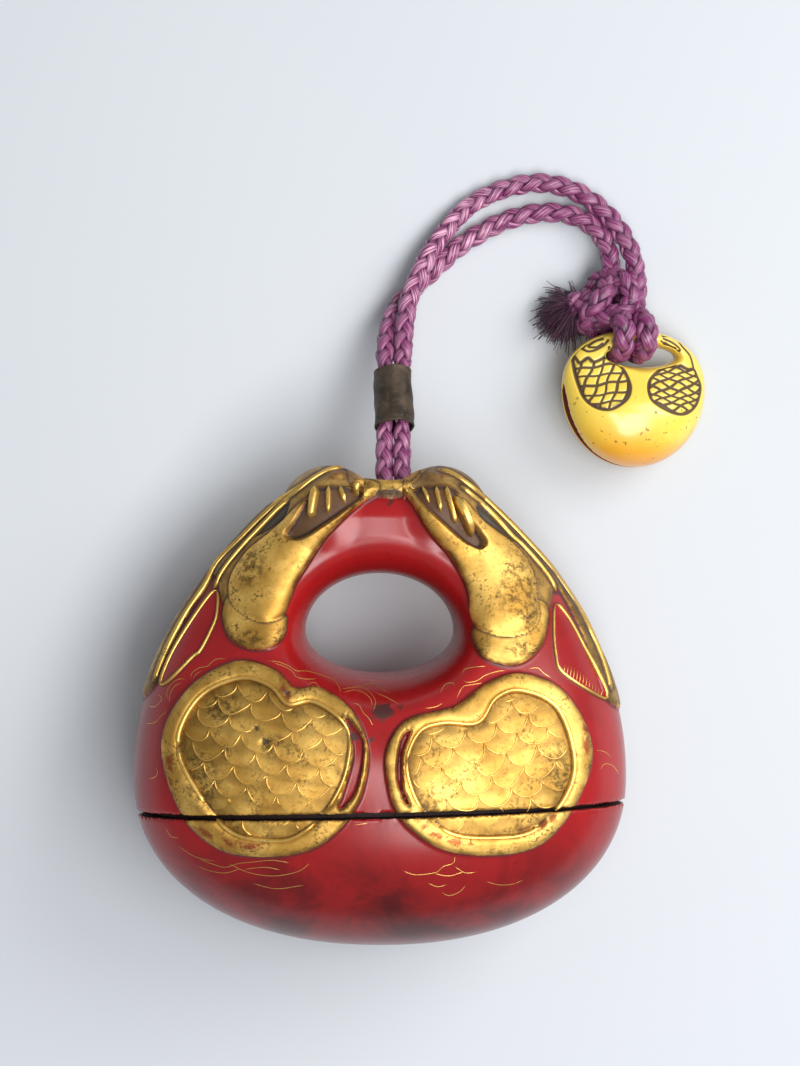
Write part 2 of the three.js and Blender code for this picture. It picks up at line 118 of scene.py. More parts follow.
# Carving of the front, as corners in millimetres.
# Left and right: the raised paddles, what shows under them, and the hollows of the gills.
PADDLES = (
    [(-0.1, 29.2), (-1.1, 28.7), (-4, 26.8), (-7, 23.8), (-9, 20.9), (-11.4, 17.3), (-12.5, 14.7),
     (-13.4, 12.7), (-15.6, 11.6), (-18.5, 12.9), (-20.2, 15), (-20.1, 17.9), (-18, 21.2), (-15.3, 23.5),
     (-12.9, 25.6), (-10, 28.3), (-7.7, 29.6), (-5.3, 29.9), (-2.6, 29.8)],
    [(3.4, 29.3), (4.8, 27.4), (6.6, 24.4), (9, 21.5), (11, 18.5), (12.2, 15.6), (12.6, 13), (13.6, 10.9),
     (16.3, 9.7), (19.5, 10.2), (21.2, 12), (21.1, 14.7), (20.9, 17.6), (19.7, 20.3), (17.6, 22.6),
     (15.2, 24.4), (13.1, 26.2), (10.9, 28.6), (9.6, 29.6), (7.2, 29.8), (5, 29.6)],
)
UNDER_PADDLES = (
    [(-21.2, 13.9), (-21, 11.2), (-19.8, 9.3), (-17.5, 8.3), (-15, 8.4), (-13.2, 9.8), (-12.8, 11.8),
     (-12.9, 12.8), (-14.9, 14.9), (-19.1, 16.3)],
    [(12.9, 11.2), (13.2, 8.3), (14.7, 6.8), (17.4, 6.1), (19.8, 6.7), (21.8, 8.6), (22.6, 10.9),
     (22.8, 13.6), (20.5, 14.9), (16.4, 14.3)],
)
POCKETS = (
    [(-12.2, 24), (-11.7, 23.2), (-9.9, 23.7), (-7.9, 25), (-5.2, 26.8), (-2.6, 28.4), (-2.9, 29.3),
     (-5.3, 29.9), (-7.7, 29.9), (-9.1, 29.3), (-10, 27.4), (-11.1, 25.3)],
    [(10.7, 26.5), (12.5, 24.7), (13.7, 22.9), (13.3, 21.9), (12.2, 22.3), (10.4, 23.8), (8.1, 25.9),
     (5.7, 28), (4.9, 29.3), (7.2, 30), (9.6, 29.9), (10.5, 28.5)],
)
# Fingers of each gill: root, tip and half width at the root.
FINGERS = (
    (((-8.6, 30.1), (-9.3, 26), 0.62), ((-7, 30.1), (-6.9, 26.6), 0.42), ((-5.7, 30.1), (-4.7, 28), 0.4),
     ((-4.3, 30.3), (-3, 28.8), 0.34)),
    (((6, 30.1), (6.8, 28), 0.36), ((7.7, 30.1), (8.3, 26.8), 0.42), ((8.9, 30.1), (10.2, 25.3), 0.46),
     ((9.9, 28.8), (12.4, 23.5), 0.5)),
)
# Dark patches beside the heads.
SLATES = (
    [(-18.1, 22.9), (-17.2, 23.8), (-15.1, 26.2), (-12.5, 28.6), (-12.1, 27.6), (-13.2, 25.6),
     (-15.9, 23.8)],
    [(12.9, 27.6), (14.7, 26.5), (16.8, 25), (18.7, 23.1), (17.9, 22.8), (16.1, 24.1), (13.7, 25.9)],
)
# Gold skin between the outline and the paddles, and the lines along the outline.
SKINS = (
    [(-0.3, 29.7), (-2.6, 31), (-4.5, 33.5), (-8, 35), (-14, 31), (-21, 23.5), (-27, 15.5), (-32, 7),
     (-33.5, 1), (-30.4, 3.6), (-28.8, 8.5), (-26, 13.1), (-22.6, 18.2), (-21.4, 14.6), (-19.2, 12.4),
     (-16, 13), (-12, 24), (-9, 28), (-3, 29)],
    [(2.9, 29.7), (5, 31), (7, 33.5), (10, 35), (15, 31), (22, 24), (28, 16.5), (32.5, 8.5), (34.5, 0),
     (30.8, 1.4), (29, 6.5), (26.8, 12), (24.2, 16.4), (22.9, 13.6), (21.4, 11.4), (17, 12), (13, 22),
     (9, 28), (5, 29)],
)
# Joint of the two heads at the top.
BRIDGE = [(-3.4, 29.5), (-0.8, 29.1), (2, 29), (4.6, 29.5), (6.5, 33), (1.5, 33), (-4.5, 33)]
SKIN_LINES = (
    [(-5.2, 32.6), (-7.1, 32.2), (-10.1, 30.4), (-13.1, 28.5), (-16, 25.9), (-19, 22.9), (-22, 19.9),
     (-24.2, 16.3), (-26.4, 13), (-28.9, 8.4), (-30.6, 3.8)],
    [(8.2, 32.3), (10.4, 31.4), (14.3, 28.3), (19, 23.7), (23.6, 18.6), (26.9, 13.9), (29.8, 7.6),
     (31.3, 2.6)],
    [(-8.4, 31.6), (-11.4, 29.2), (-13.8, 27.2), (-17.2, 23.6), (-20.6, 19.6), (-22.8, 16.4)],
    [(10.9, 30.1), (14.6, 26.9), (18.9, 22.5), (22, 19), (24.1, 16)],
)
# Small red fins beside the heads, and the bodies with their scaly fields.
FINS = (
    [(-22.3, 16.2), (-22.2, 13), (-23, 10.7), (-24.4, 8), (-25.4, 7.2), (-28.7, 3.9), (-29.9, 3.7),
     (-28.2, 8.1), (-24.3, 14.2)],
    [(24, 14.2), (23.7, 10.9), (23.9, 7.5), (24.8, 5.1), (30.2, 1.6), (30.7, 2.2), (29.3, 5.5), (27, 10.3),
     (25.4, 13)],
)
PANELS = (
    [(-29.2, -4.4), (-25.7, 2.8), (-19.3, 6.6), (-14.1, 5.5), (-11.3, 3.1), (-8.1, 3), (-3.6, 0.1),
     (-1.5, -4.5), (-1.8, -8.8), (-3.4, -13), (-7.9, -17.6), (-14.5, -19.2), (-21.4, -18.3),
     (-26.6, -13.5)],
    [(1, -4.9), (3.4, -1.2), (8, 0.2), (10.3, 0.8), (14.9, 4), (19.6, 4.9), (25.1, 2.1), (28.5, -5.3),
     (26.1, -12.6), (21.6, -17.6), (15.4, -19), (8.1, -18), (2.9, -14), (1.2, -9.5)],
)
FIELDS = (
    [(-26.9, -4.8), (-24.2, 1.5), (-18.8, 4.2), (-14.7, 3.3), (-12.2, 0.9), (-9.1, 1.3), (-5.9, -0.4),
     (-4, -3), (-4.6, -8.2), (-7.2, -13), (-10.6, -16), (-13.8, -16.9), (-19.4, -16), (-23.4, -11.8)],
    [(3.7, -6.3), (5.4, -2.6), (8.6, -1.5), (13.1, -1.5), (15.5, 1.6), (18.9, 2.6), (23.7, 0.2),
     (25.9, -6.7), (24.3, -11.9), (20.2, -15.8), (14.4, -16.5), (9.4, -15.8), (6.1, -13.1), (4.4, -10.2)],
)
# Narrow hollows beside the fields, towards the middle.
SLIVERS = (
    [(-4.4, -0.7), (-2.4, -3), (-2, -4.5), (-2.3, -7.5), (-3.1, -10.4), (-4.6, -12.4), (-5.4, -12.6),
     (-4.9, -10.9), (-3.6, -6.7), (-3.5, -4.3), (-4.2, -2.1)],
    [(4.2, -2.4), (3, -3.3), (2.5, -5.4), (2.3, -8), (2.7, -10.1), (3.5, -12), (4, -12), (3.2, -9.9),
     (3, -7.2), (3.1, -5.4), (3.8, -3.6)],
)
# Ridges between the heads: line, half width and height.
RIDGES = (
    ([(-4.1, 29.9), (-1.6, 29.7), (0.9, 29.5), (3.1, 29.6), (5, 29.9)], 0.6, 1.9),
    ([(-1.8, 28.8), (-0.6, 29.3), (1.2, 29.15), (3, 29.3), (4, 28.8)], 0.45, 1.5),
)
EYES = ((-5.8, 31.6), (7.1, 31.4))
# Worn and stained spots: x, y, radius.
PITS = ((-3, -3.3, 0.8), (-12.2, 2.2, 0.55), (-16.4, -2.2, 0.5), (20.8, 14.4, 0.55), (-15.2, -4.1, 0.9))
STAINS = ((0.4, 0.2, 1.45), (3, 0.7, 0.35), (0.4, -3.8, 0.5), (-0.9, -3.7, 0.4), (1.5, 28.2, 0.5))
# Lines along which the gold of the rims is rubbed through.
RUBS = (
    [(-24, -15.4), (-21, -16.9), (-18, -17.5), (-15, -17.6)],
    [(-12.9, 3.1), (-12.2, 2), (-11.4, 1.2)],
    [(6, -15), (8, -16.2), (10.4, -17)],
    [(19, -15.8), (21.6, -15), (24, -13.4)],
    [(-27.8, -6.5), (-27.6, -9.6)],
    [(-4.6, -1), (-3.4, -2.6), (-3, -4.4)],
    [(27.2, -2.5), (27.3, -5.5)],
)
# Places where brown dirt has settled in the gold: x, y, half width, half height.
SOILS = (
    (18.2, 16.6, 3.6, 6.2), (19.5, 12.8, 2.4, 2), (-17.2, 19, 2.8, 4), (-21, 0.5, 3.5, 3), (-23.5, -9, 3, 5),
    (6.5, -12, 2.5, 3.5), (24, -8, 2.5, 5), (-17.5, 9.6, 3, 1.2), (-14, -4.5, 2.5, 2), (19, 8, 3.2, 1.4),
)
# Raised forms: height of the wall, height of the crown and width over which it rises.
SKIN_RELIEF = (0.32, 0.25, 2.5)
BRIDGE_RELIEF = (0.3, 0.2, 2)
UNDER_RELIEF = (0.42, 0.5, 2.6)
PADDLE_RELIEF = (0.7, 1.35, 4.6)
FIN_RELIEF = (0.1, 0, 1)
BACK_UNDER_RELIEF = (0.35, 0.3, 2.6)
BACK_PADDLE_RELIEF = (0.5, 0.75, 4.6)
# The panels of the back lie further out, by this.
BACK_SHIFT = 3
# Rims of the panels on the front and on the back: height of the wall and of the crown, and width.
RIM_RELIEF = (0.62, 0.42)
BACK_RIM_RELIEF = (0.36, 0.27)
RIM_WIDTH = 1.1
# Height of the ground in each panel and hollow.
FIELD_FLOOR = 0.22
BACK_FIELD_FLOOR = 0.15
SLATE_FLOOR = 0.2
POCKET_FLOOR = 0.35
SLIVER_FLOOR = 0.12
# Raised gold lines: half width and height.
SCALE_LINE = (0.16, 0.2)
HATCH_LINE = (0.1, 0.07)
SKIN_LINE = (0.3, 0.35)
FIN_LINE = (0.24, 0.3)
FIELD_LINE = (0.34, 0.1)
CLOUD_RISE = 0.05
FINGER_RISE = 0.8
# Fish scales: width, step from row to row, height, height of the lower edge and slant of the rows.
SCALE_WIDTH = 4.3
SCALE_ROW = 2.15
SCALE_DROP = 2.35
SCALE_STEP = 0.03
SCALE_TILTS = (math.radians(-12), math.radians(12))
# Ribbons of the gold lines: step along them, and depth of their feet under the ground.
RIBBON_STEP = 0.32
RIBBON_FOOT = 0.12
# Clouds and scrolls, each drawn as one gold line.
CLOUDS = (
    [(-25.6, 4.2), (-25.5, 5), (-24.6, 5.7), (-23.3, 6), (-22.8, 6.5), (-22, 7), (-20.8, 7)],
    [(-25.3, 4), (-25.1, 4.7), (-24.1, 5.4)],
    [(-28.8, 1.4), (-29, 2.4), (-28.3, 3.6), (-27.2, 4.2), (-26.4, 4.2)],
    [(-28.6, 0.9), (-28.5, 2.2), (-27.9, 3.2), (-26.9, 3.7)],
    [(-31.8, 0.5), (-30.8, 0.3), (-29.7, 1.4), (-30.3, 2.1)],
    [(-32.1, -2), (-30.7, -1.8), (-29.8, -0.9), (-29.1, -0.3), (-28.8, 0.2)],
    [(-15.2, 6.8), (-13.7, 6.7), (-12.2, 6.1), (-11.2, 5.5), (-9.7, 5.4), (-7.7, 4.8), (-6.2, 4.2),
     (-5.4, 3.2), (-5.2, 2.5)],
    [(-14.4, 6.6), (-12.9, 6.1), (-11.7, 5.4), (-11.2, 4.7), (-9.9, 4.4), (-8.4, 4.4)],
    [(-9.6, 3.4), (-9.3, 3.9), (-8.6, 3.9), (-8.1, 3.4)],
    [(-5.2, 3), (-3.7, 3.2), (-2.2, 3.2), (-1, 2.3), (-0.5, 1.3), (-0.9, 0.1)],
    [(-4.9, 2.6), (-3.4, 2.9), (-2.2, 2.6), (-1.2, 1.8), (-0.9, 0.8)],
    [(-3.7, 1.3), (-2.7, 1), (-2.2, 0.1), (-1.4, -0.7), (-0.9, -1.6)],
    [(-2.6, 3.2), (-1.2, 3.7), (0.3, 3), (1.3, 2.5)],
    [(-31.5, -9.4), (-30.5, -9.1), (-30.1, -8.3), (-30.4, -7.8)],
    [(-30.7, -12.6), (-29.8, -12), (-29, -12.5), (-28.8, -13.2)],
    [(-29.1, -15.8), (-28.3, -17.1), (-27, -17.2)],
    [(-3.6, -14.9), (-1.4, -14.6), (-0.2, -14.3), (1, -14.2)],
    [(-24.4, -20), (-22.6, -20.6), (-20.8, -21), (-19, -20.4), (-16.9, -20.1), (-14.4, -19.8),
     (-12, -20.1)],
    [(-24.7, -21), (-23, -21.6), (-20.8, -21.8), (-18.7, -21.1)],
    [(-18.3, -21.2), (-15.5, -20.8), (-13.4, -21.1)],
    [(7.2, -21.5), (9.3, -21.9), (11.4, -21.3)],
    [(26.8, -14.7), (28.5, -14), (30.3, -14.1), (31.6, -13.5)],
    [(8.1, 2.5), (8.8, 3.7), (9.9, 3.9), (10.1, 3.4)],
    [(11, 5), (11.5, 5.7), (12.8, 6), (14.4, 6.1)],
    [(11.1, 4.4), (11.7, 4), (13.1, 4.2), (14.2, 4.9), (15.8, 5.4), (17.1, 5.5)],
    [(10.4, 2), (11.2, 3.4), (12.5, 3.7), (13.9, 3.9)],
    [(20.1, 5.7), (21.4, 5.8), (22.2, 5.1), (23.3, 4.4)],
    [(29.5, -5.4), (30.6, -5.7), (31.7, -6.6)],
    [(29.8, -8.1), (30.6, -7.3), (31.8, -7.7), (32.7, -8.9)],
    [(5.9, 0.6), (7.5, 0.8), (8.5, 1.3)],
    [(-0.7, 2.6), (0.9, 2), (2.5, 1.2)],
    [(3.1, -21.1), (4.8, -21.7), (7.5, -21.4), (8.5, -20.6), (9.9, -20.1), (10.1, -19.2)],
    [(10.1, -20.6), (11.5, -21.5), (13.1, -21.4)],
    [(6.4, -22.8), (7.8, -23.4), (9.1, -23.1)],
    [(14.4, -22.8), (16, -23.3), (17.9, -23.3), (19.5, -22.7)],
    [(8.3, -24.2), (9.4, -24.7), (10.7, -24.2), (11.5, -23.4)],
    [(25.1, -15.3), (26.5, -14.6), (28.1, -15), (29.8, -14), (30.4, -13.6)],
    [(-20.4, -20.4), (-17.6, -21.6), (-14.2, -22), (-10.9, -21.3), (-9.4, -20.2)],
    [(-17.2, -23.1), (-13.9, -23.8), (-10.2, -23.2)],
    [(-27.4, -18.3), (-25, -19.7), (-22.4, -20.2)],
)

# Engraving of the toggle.
TOGGLE_BODIES = (
    [(-9.1, 6.0), (-9.2, 4.1), (-8.9, 2.0), (-8.4, 0.2), (-7.6, -0.9), (-6.4, -1.6), (-5.0, -1.7),
     (-3.7, -1.1), (-2.4, 0.0), (-1.8, 1.4), (-1.9, 2.7), (-2.5, 4.2), (-3.8, 5.4), (-4.7, 5.8),
     (-6.4, 5.1), (-7.3, 5.7), (-8.4, 5.0)],
    [(5.9, 4.6), (4.0, 4.5), (2.5, 3.7), (1.3, 2.6), (0.8, 1.4), (0.9, 0.0), (1.7, -0.9), (3.3, -1.8),
     (5.0, -2.3), (6.6, -2.1), (8.1, -1.0), (9.0, 0.6), (9.3, 1.9), (8.8, 3.3), (8.4, 4.2), (7.4, 4.2),
     (6.3, 4.7)],
)
TOGGLE_LINES = (
    [(-9.1, 6.0), (-8.4, 7.0), (-7.5, 8.0), (-6.6, 8.7)],
    [(-7.8, 7.1), (-6.9, 8.1), (-5.8, 8.6), (-4.9, 8.8)],
    [(-7.9, 7.0), (-7.2, 6.6), (-6.2, 6.8), (-5.0, 7.5), (-4.4, 8.2)],
    [(-7.1, 7.4), (-6.1, 8.1), (-5.1, 8.4)],
    [(-7.0, 7.2), (-6.0, 7.2), (-5.2, 7.7)],
    [(-4.7, 5.8), (-4.2, 6.4), (-4.3, 7.2)],
    [(3.7, 8.9), (5.7, 8.9), (6.8, 7.5), (8.0, 6.1), (8.4, 4.2)],
    [(3.4, 8.1), (4.8, 7.0), (6.0, 6.7), (6.3, 7.1), (5.3, 7.9), (3.8, 8.5)],
    [(4.0, 7.9), (4.9, 7.3), (5.6, 7.1)],
)
# Lattice of scales on each fish of the toggle: slants of its two sets of lines, and the gap between them.
TOGGLE_LATTICES = (((math.radians(66), math.radians(8)), 1.34), ((math.radians(22), math.radians(-24)), 1.06))

# Cord routes, from the bore to the knot.
OUTER_ROUTE = (
    (3.04, 28.61, 17.6), (3.04, 30.97, 17.3), (3.04, 34.19, 15.9), (3.06, 38.28, 13.9), (3.08, 42.69, 11.9),
    (3.1, 46.71, 9.8), (3.2, 49.88, 8.3), (3.47, 53.52, 6.8), (4.19, 57.58, 5.5), (6.04, 62.1, 4.1),
    (8.48, 66.2, 2.8), (12.35, 70.53, 1.8), (15.78, 72.55, 1.5), (19.22, 73.69, 1.5), (22.8, 74.12, 1.5),
    (26.65, 73.39, 1.6), (29.93, 71.65, 1.9), (32.89, 68.87, 2.6), (34.96, 65.64, 3.7), (36.1, 62.27, 5),
    (36.3, 58.8, 6.3),
)
INNER_ROUTE = (
    (0.6, 28.61, 17.6), (0.6, 30.97, 17.3), (0.6, 34.19, 15.9), (0.62, 38.28, 13.9), (0.64, 42.69, 11.9),
    (0.66, 46.71, 9.75), (0.72, 49.91, 7.6), (1.2, 53.45, 5), (2.34, 56.28, 3), (4.19, 58.51, 1.8),
    (6.34, 60.53, 1.5), (8.49, 62.53, 1.5), (10.78, 64.68, 1.5), (13.78, 66.68, 1.5), (17.79, 68.68, 1.5),
    (22.65, 69.83, 1.5), (27.08, 69.53, 1.6), (30.21, 67.92, 2), (32.16, 65.29, 2.8), (32.81, 62.35, 3.9),
    (32.7, 59.5, 5),
)
YARN_STEP = 0.3
STRAND_FADING = 0.85
KNOT_FADING = 0.6
# Loops round the toggle's bar: place across it and radius.
LOOPS = ((-2.6, 1.72), (0.7, 1.7))
# Bends of the knot above the loops: route, radius and seed.
KNOT_BENDS = (
    ([(36.4, 60.6, 5.7), (36.3, 58.3, 6.4), (35.0, 56.0, 7.6), (32.4, 54.6, 7.6), (29.8, 55.2, 5.8),
      (29.0, 57.2, 3.8), (31.4, 58.6, 3.1), (34.2, 57.6, 3.1), (35.6, 55.4, 3.4)], 1.6, 4),
    ([(32.6, 60.9, 4.6), (32.2, 58.9, 5.8), (31.2, 57.1, 7.2), (29.8, 55.4, 6.6), (29.3, 53.7, 4.6),
      (31.5, 52.9, 3.0), (34.4, 54.0, 2.8)], 1.6, 5),
    ([(30.2, 59.6, 2.9), (32.4, 60.4, 4.6), (34.6, 59.8, 6.6), (35.8, 57.4, 7.2), (36.6, 55.2, 5.6)], 1.5, 8),
)
STUB = [(31.8, 56.6, 4.8), (29.9, 57.0, 4.9), (28.2, 56.8, 4.3), (27.2, 56.4, 3.7)]
TUFT_ROOT = (27.7, 56.4, 3.9)

BEAD_AT = (1.86, 42.69, 11.9)
BEAD_SLOPE = math.radians(-26.1)
BEAD_RADIUS = 2.7
BEAD_LENGTH = 9.2
BEAD_WALL = 0.3
BEAD_LIP = 0.09

# Camera: focal length and frame height in pixels, sensor in millimetres, and its place in metres.
FOCAL_PIXELS = 3600
FRAME_PIXELS = 1066
SENSOR = 36
CAMERA_X = 0.002764
CAMERA_Y = 0.02404

# Stage, in metres.
FLOOR_SIZE = 3
SKY_COLOUR = (0.86, 0.92, 1, 1)
# Lights: name, place, what they look at, width and height, and colour.
LIGHTS = (
    ("key light", (0.42, 0.24, 0.4), (0, 0.02, 0.01), (0.42, 0.42), (1, 0.99, 0.97)),
    ("near soft box", (0.17, -0.1, 0.5), (0, 0.01, 0.01), (0.48, 0.24), (1, 1, 1)),
    ("overhead strip", (0.01, -0.02, 0.6), (0, 0, 0.01), (0.1, 0.3), (1, 1, 1)),
)


# Form maths, on arrays of millimetres

def lower(share):
    """1 at a share of 0, falling to 0 at a share of 1 along a fuller curve than a circle's."""
    return np.maximum(0, 1 - np.clip(share, 0, 1) ** ROUNDNESS) ** (1 / ROUNDNESS)


def rounded(share):
    """The same along a circle."""
    return np.sqrt(1 - np.clip(share, 0, 1) ** 2)


def ease(share):
    """0 to 1, with a soft start and end."""
    share = np.clip(share, 0, 1)
    return share * share * (3 - 2 * share)


def pillow(share):
    """0 to 1 along a circle, steep at first."""
    return rounded(1 - np.clip(share, 0, 1))


def case_width(y):
    below = CASE_HALF_WIDTH * lower((CASE_WIDEST - y) / (CASE_WIDEST - CASE_LOW))
    taper = SHOULDER_TAPER * (np.maximum(0, y - CASE_WIDEST) / SHOULDER_REACH) ** SHOULDER_POWER
    above = CASE_HALF_WIDTH * (1 - np.minimum(taper, 1)) * rounded((y - CASE_HIGH + HANDLE_CAP) / HANDLE_CAP)
    return np.where(y < CASE_WIDEST, below, above)


def case_depth(y):
    below = BELLY_HALF_DEPTH * lower((CASE_DEEPEST - y) / (CASE_DEEPEST - CASE_LOW))
    share = np.clip((y - CASE_DEEPEST) / (HANDLE_START - CASE_DEEPEST), 0, 1)
    swell = (BELLY_HALF_DEPTH - HANDLE_HALF_DEPTH) * (1 + np.cos(math.pi * share)) / 2
    top = rounded((y - CASE_HIGH + HANDLE_ROUNDING) / HANDLE_ROUNDING)
    return np.where(y < CASE_DEEPEST, below, (HANDLE_HALF_DEPTH + swell) * top)


def toggle_width(y):
    above = lower((y - TOGGLE_WIDEST) / (TOGGLE_HIGH - TOGGLE_WIDEST))
    below = rounded((TOGGLE_WIDEST - y) / (TOGGLE_WIDEST - TOGGLE_LOW))
    return TOGGLE_HALF_WIDTH * np.where(y > TOGGLE_WIDEST, above, below)


def toggle_depth(y):
    below = TOGGLE_HALF_DEPTH * lower((TOGGLE_DEEPEST - y) / (TOGGLE_DEEPEST - TOGGLE_LOW))
    share = np.clip((y - TOGGLE_DEEPEST) / BAR_REACH, 0, 1)
    swell = (TOGGLE_HALF_DEPTH - BAR_HALF_DEPTH) * (1 + np.cos(math.pi * share)) / 2
    top = rounded((y - TOGGLE_HIGH + BAR_ROUNDING) / BAR_ROUNDING)
    return np.where(y < TOGGLE_DEEPEST, below, (BAR_HALF_DEPTH + swell) * top)


class GongForm:
    """A bell-shaped body that bends round a hole, from its half width and half depth at each height."""

    def __init__(self, width_at, depth_at, low, high, hole, lumps=()):
        self.width_at = width_at
        self.depth_at = depth_at
        self.low = low
        self.high = high
        self.hole_x, self.hole_y, self.hole_half, self.rise, self.drop, self.rounding = hole
        self.lumps = lumps

    def hole_radius(self, angle):
        """From the middle of the hole to its edge, in a direction."""
        tall = np.where(np.sin(angle) > 0, self.rise, self.drop)
        return 1 / np.hypot(np.cos(angle) / self.hole_half, np.sin(angle) / tall)

    def outline_radius(self, angle):
        """From the middle of the hole to the outline of the body or of a lump, in a direction."""
        near = np.zeros_like(angle)
        far = np.full_like(angle, 4 * (self.high - self.low))
        for _ in range(40):
            radius = (near + far) / 2
            x = self.hole_x + radius * np.cos(angle)
            y = self.hole_y + radius * np.sin(angle)
            inside = (y > self.low) & (y < self.high) & (np.abs(x) < self.width_at(y))
            near = np.where(inside, radius, near)
            far = np.where(inside, far, radius)
        for x, y, size, _ in self.lumps:
            dx, dy = x - self.hole_x, y - self.hole_y
            ahead = dx * np.cos(angle) + dy * np.sin(angle)
            room = size ** 2 - (dx ** 2 + dy ** 2 - ahead ** 2)
            meets = (room > 0) & (ahead > 0)
            near = np.maximum(near, np.where(meets, ahead + np.sqrt(np.maximum(room, 0)), 0))
        return near

    def depth(self, x, y):
        """Half depth of the body at a place, with the lumps blended in."""
        bell = self.depth_at(y) * lower(np.abs(x) / np.maximum(self.width_at(y), 1e-6))
        dx, dy = x - self.hole_x, y - self.hole_y
        from_hole = np.hypot(dx, dy) - self.hole_radius(np.arctan2(dy, dx))
        depth = bell * rounded(1 - from_hole / self.rounding)
        for lump_x, lump_y, size, tall in self.lumps:
            lump = tall * rounded(np.hypot(x - lump_x, y - lump_y) / size)
            most = np.maximum(depth, lump)
            blend = 0.5 + 0.25 * most
            fillet = np.maximum(blend - np.abs(depth - lump), 0) ** 2 / (4 * blend)
            depth = most + fillet * ease(most / 3 - 0.3)
        return depth

    def grid(self, around, front, back):
        """X, Y, depth and side of each point of a ring of sections, from the outline to the hole and back."""
        fine = np.linspace(0, TAU, 4001)
        middle = (self.hole_radius(fine) + 2 * self.outline_radius(fine)) / 3
        run = run_along(np.stack([middle * np.cos(fine), middle * np.sin(fine)], axis=1))
        angle = np.interp(np.arange(around) / around * run[-1], run, fine)[:, None]
        share = np.concatenate([spread(front), 1 - spread(back)])
        side = np.concatenate([np.ones(front), -np.ones(back)])
        inner, outer = self.hole_radius(angle), self.outline_radius(angle)
        radius = outer - (outer - inner) * share
        x = self.hole_x + radius * np.cos(angle)
        y = self.hole_y + radius * np.sin(angle)
        flat = (share > 0) & (share < 1)
        return x, y, self.depth(x, y) * flat, side


def spread(count):
    """Shares from 0 towards 1, close together at both ends."""
    share = np.arange(count) / count
    share = share + 0.25 * np.sin(TAU * share) / TAU
    return (1 - np.cos(math.pi * share)) / 2


CASE = GongForm(case_width, case_depth, CASE_LOW, CASE_HIGH, CASE_HOLE, HEADS)
TOGGLE = GongForm(toggle_width, toggle_depth, TOGGLE_LOW, TOGGLE_HIGH, TOGGLE_HOLE)


def spline(points, steps, closed=False):
    """A smooth curve through points, as rows of an array."""
    points = np.asarray(points, float)
    if closed:
        padded = np.concatenate([points[-1:], points, points[:2]])
    else:
        padded = np.concatenate([2 * points[:1] - points[1:2], points, 2 * points[-1:] - points[-2:-1]])
    a, b, c, d = padded[:-3], padded[1:-2], padded[2:-1], padded[3:]
    t = (np.arange(steps) / steps)[None, :, None]
    a, b, c, d = a[:, None], b[:, None], c[:, None], d[:, None]
    curve = 2 * b + (c - a) * t + (2 * a - 5 * b + 4 * c - d) * t ** 2 + (3 * b - a - 3 * c + d) * t ** 3
    curve = (curve / 2).reshape(-1, points.shape[1])
    return curve if closed else np.concatenate([curve, points[-1:]])


def run_along(points):
    """Length of the way from the first point of a line to each of its points."""
    return np.concatenate([[0], np.cumsum(np.linalg.norm(np.diff(points, axis=0), axis=1))])


def unit(vectors):
    """Vectors brought to a length of 1."""
    return vectors / np.maximum(np.linalg.norm(vectors, axis=-1, keepdims=True), 1e-9)


def even_steps(points, gap):
    """The same curve with its points a set gap apart."""
    run = run_along(points)
    count = max(3, int(round(run[-1] / gap)) + 1)
    at = np.linspace(0, run[-1], count)
    return np.stack([np.interp(at, run, points[:, axis]) for axis in range(points.shape[1])], axis=1)


def clear_runs(points, clear, least):
    """The stretches of a line that are clear and have at least so many points."""
    runs = np.split(np.arange(len(clear)), np.flatnonzero(np.diff(clear)) + 1)
    return [points[run] for run in runs if clear[run[0]] and len(run) >= least]


def to_segment(x, y, start, end):
    """Squared distance to a segment, and the share of the way along it."""
    (ax, ay), (bx, by) = start, end
    ex, ey = bx - ax, by - ay
    share = np.clip(((x - ax) * ex + (y - ay) * ey) / (ex * ex + ey * ey + 1e-12), 0, 1)
    return (x - ax - share * ex) ** 2 + (y - ay - share * ey) ** 2, share


def inside_depth(outline, x, y, margin=3.0, soft=False):
    """Distance inside a closed outline, negative outside it. The soft one has no crease along its middle."""
    outline = np.asarray(outline, float)
    result = np.full(x.shape, -margin)
    low, high = outline.min(0) - margin, outline.max(0) + margin
    near = (x > low[0]) & (x < high[0]) & (y > low[1]) & (y < high[1])
    px, py = x[near], y[near]
    square = np.full(px.shape, 100.0)
    inside = np.zeros(px.shape, bool)
    pull = np.zeros(px.shape)
    for start, end in zip(outline, np.roll(outline, -1, axis=0)):
        found, _ = to_segment(px, py, start, end)
        square = np.minimum(square, found)
        ex, ey = end - start
        if soft:
            pull += math.hypot(ex, ey) / np.maximum(found, 0.01) ** 2
        if ey != 0:
            crosses = (start[1] > py) != (end[1] > py)
            inside ^= crosses & (px < ex * (py - start[1]) / ey + start[0])
    result[near] = np.where(inside, 1, -1) * np.sqrt(square)
    result = np.maximum(result, -margin)
    if not soft:
        return result
    crown = np.zeros(x.shape)
    crown[near] = np.where(inside, (pull * 2 / math.pi + 1e-9) ** (-1 / 3), 0)
    return result, crown


def line_distance(line, x, y, reach=3.0):
    """Distance to an open line and the share of the way along it."""
    line = np.asarray(line, float)
    square = np.full(x.shape, reach ** 2)
    along = np.zeros(x.shape)
    count = len(line) - 1
    for i in range(count):
        found, share = to_segment(x, y, line[i], line[i + 1])
        along = np.where(found < square, (i + share) / count, along)
        square = np.minimum(square, found)
    return np.sqrt(square), along


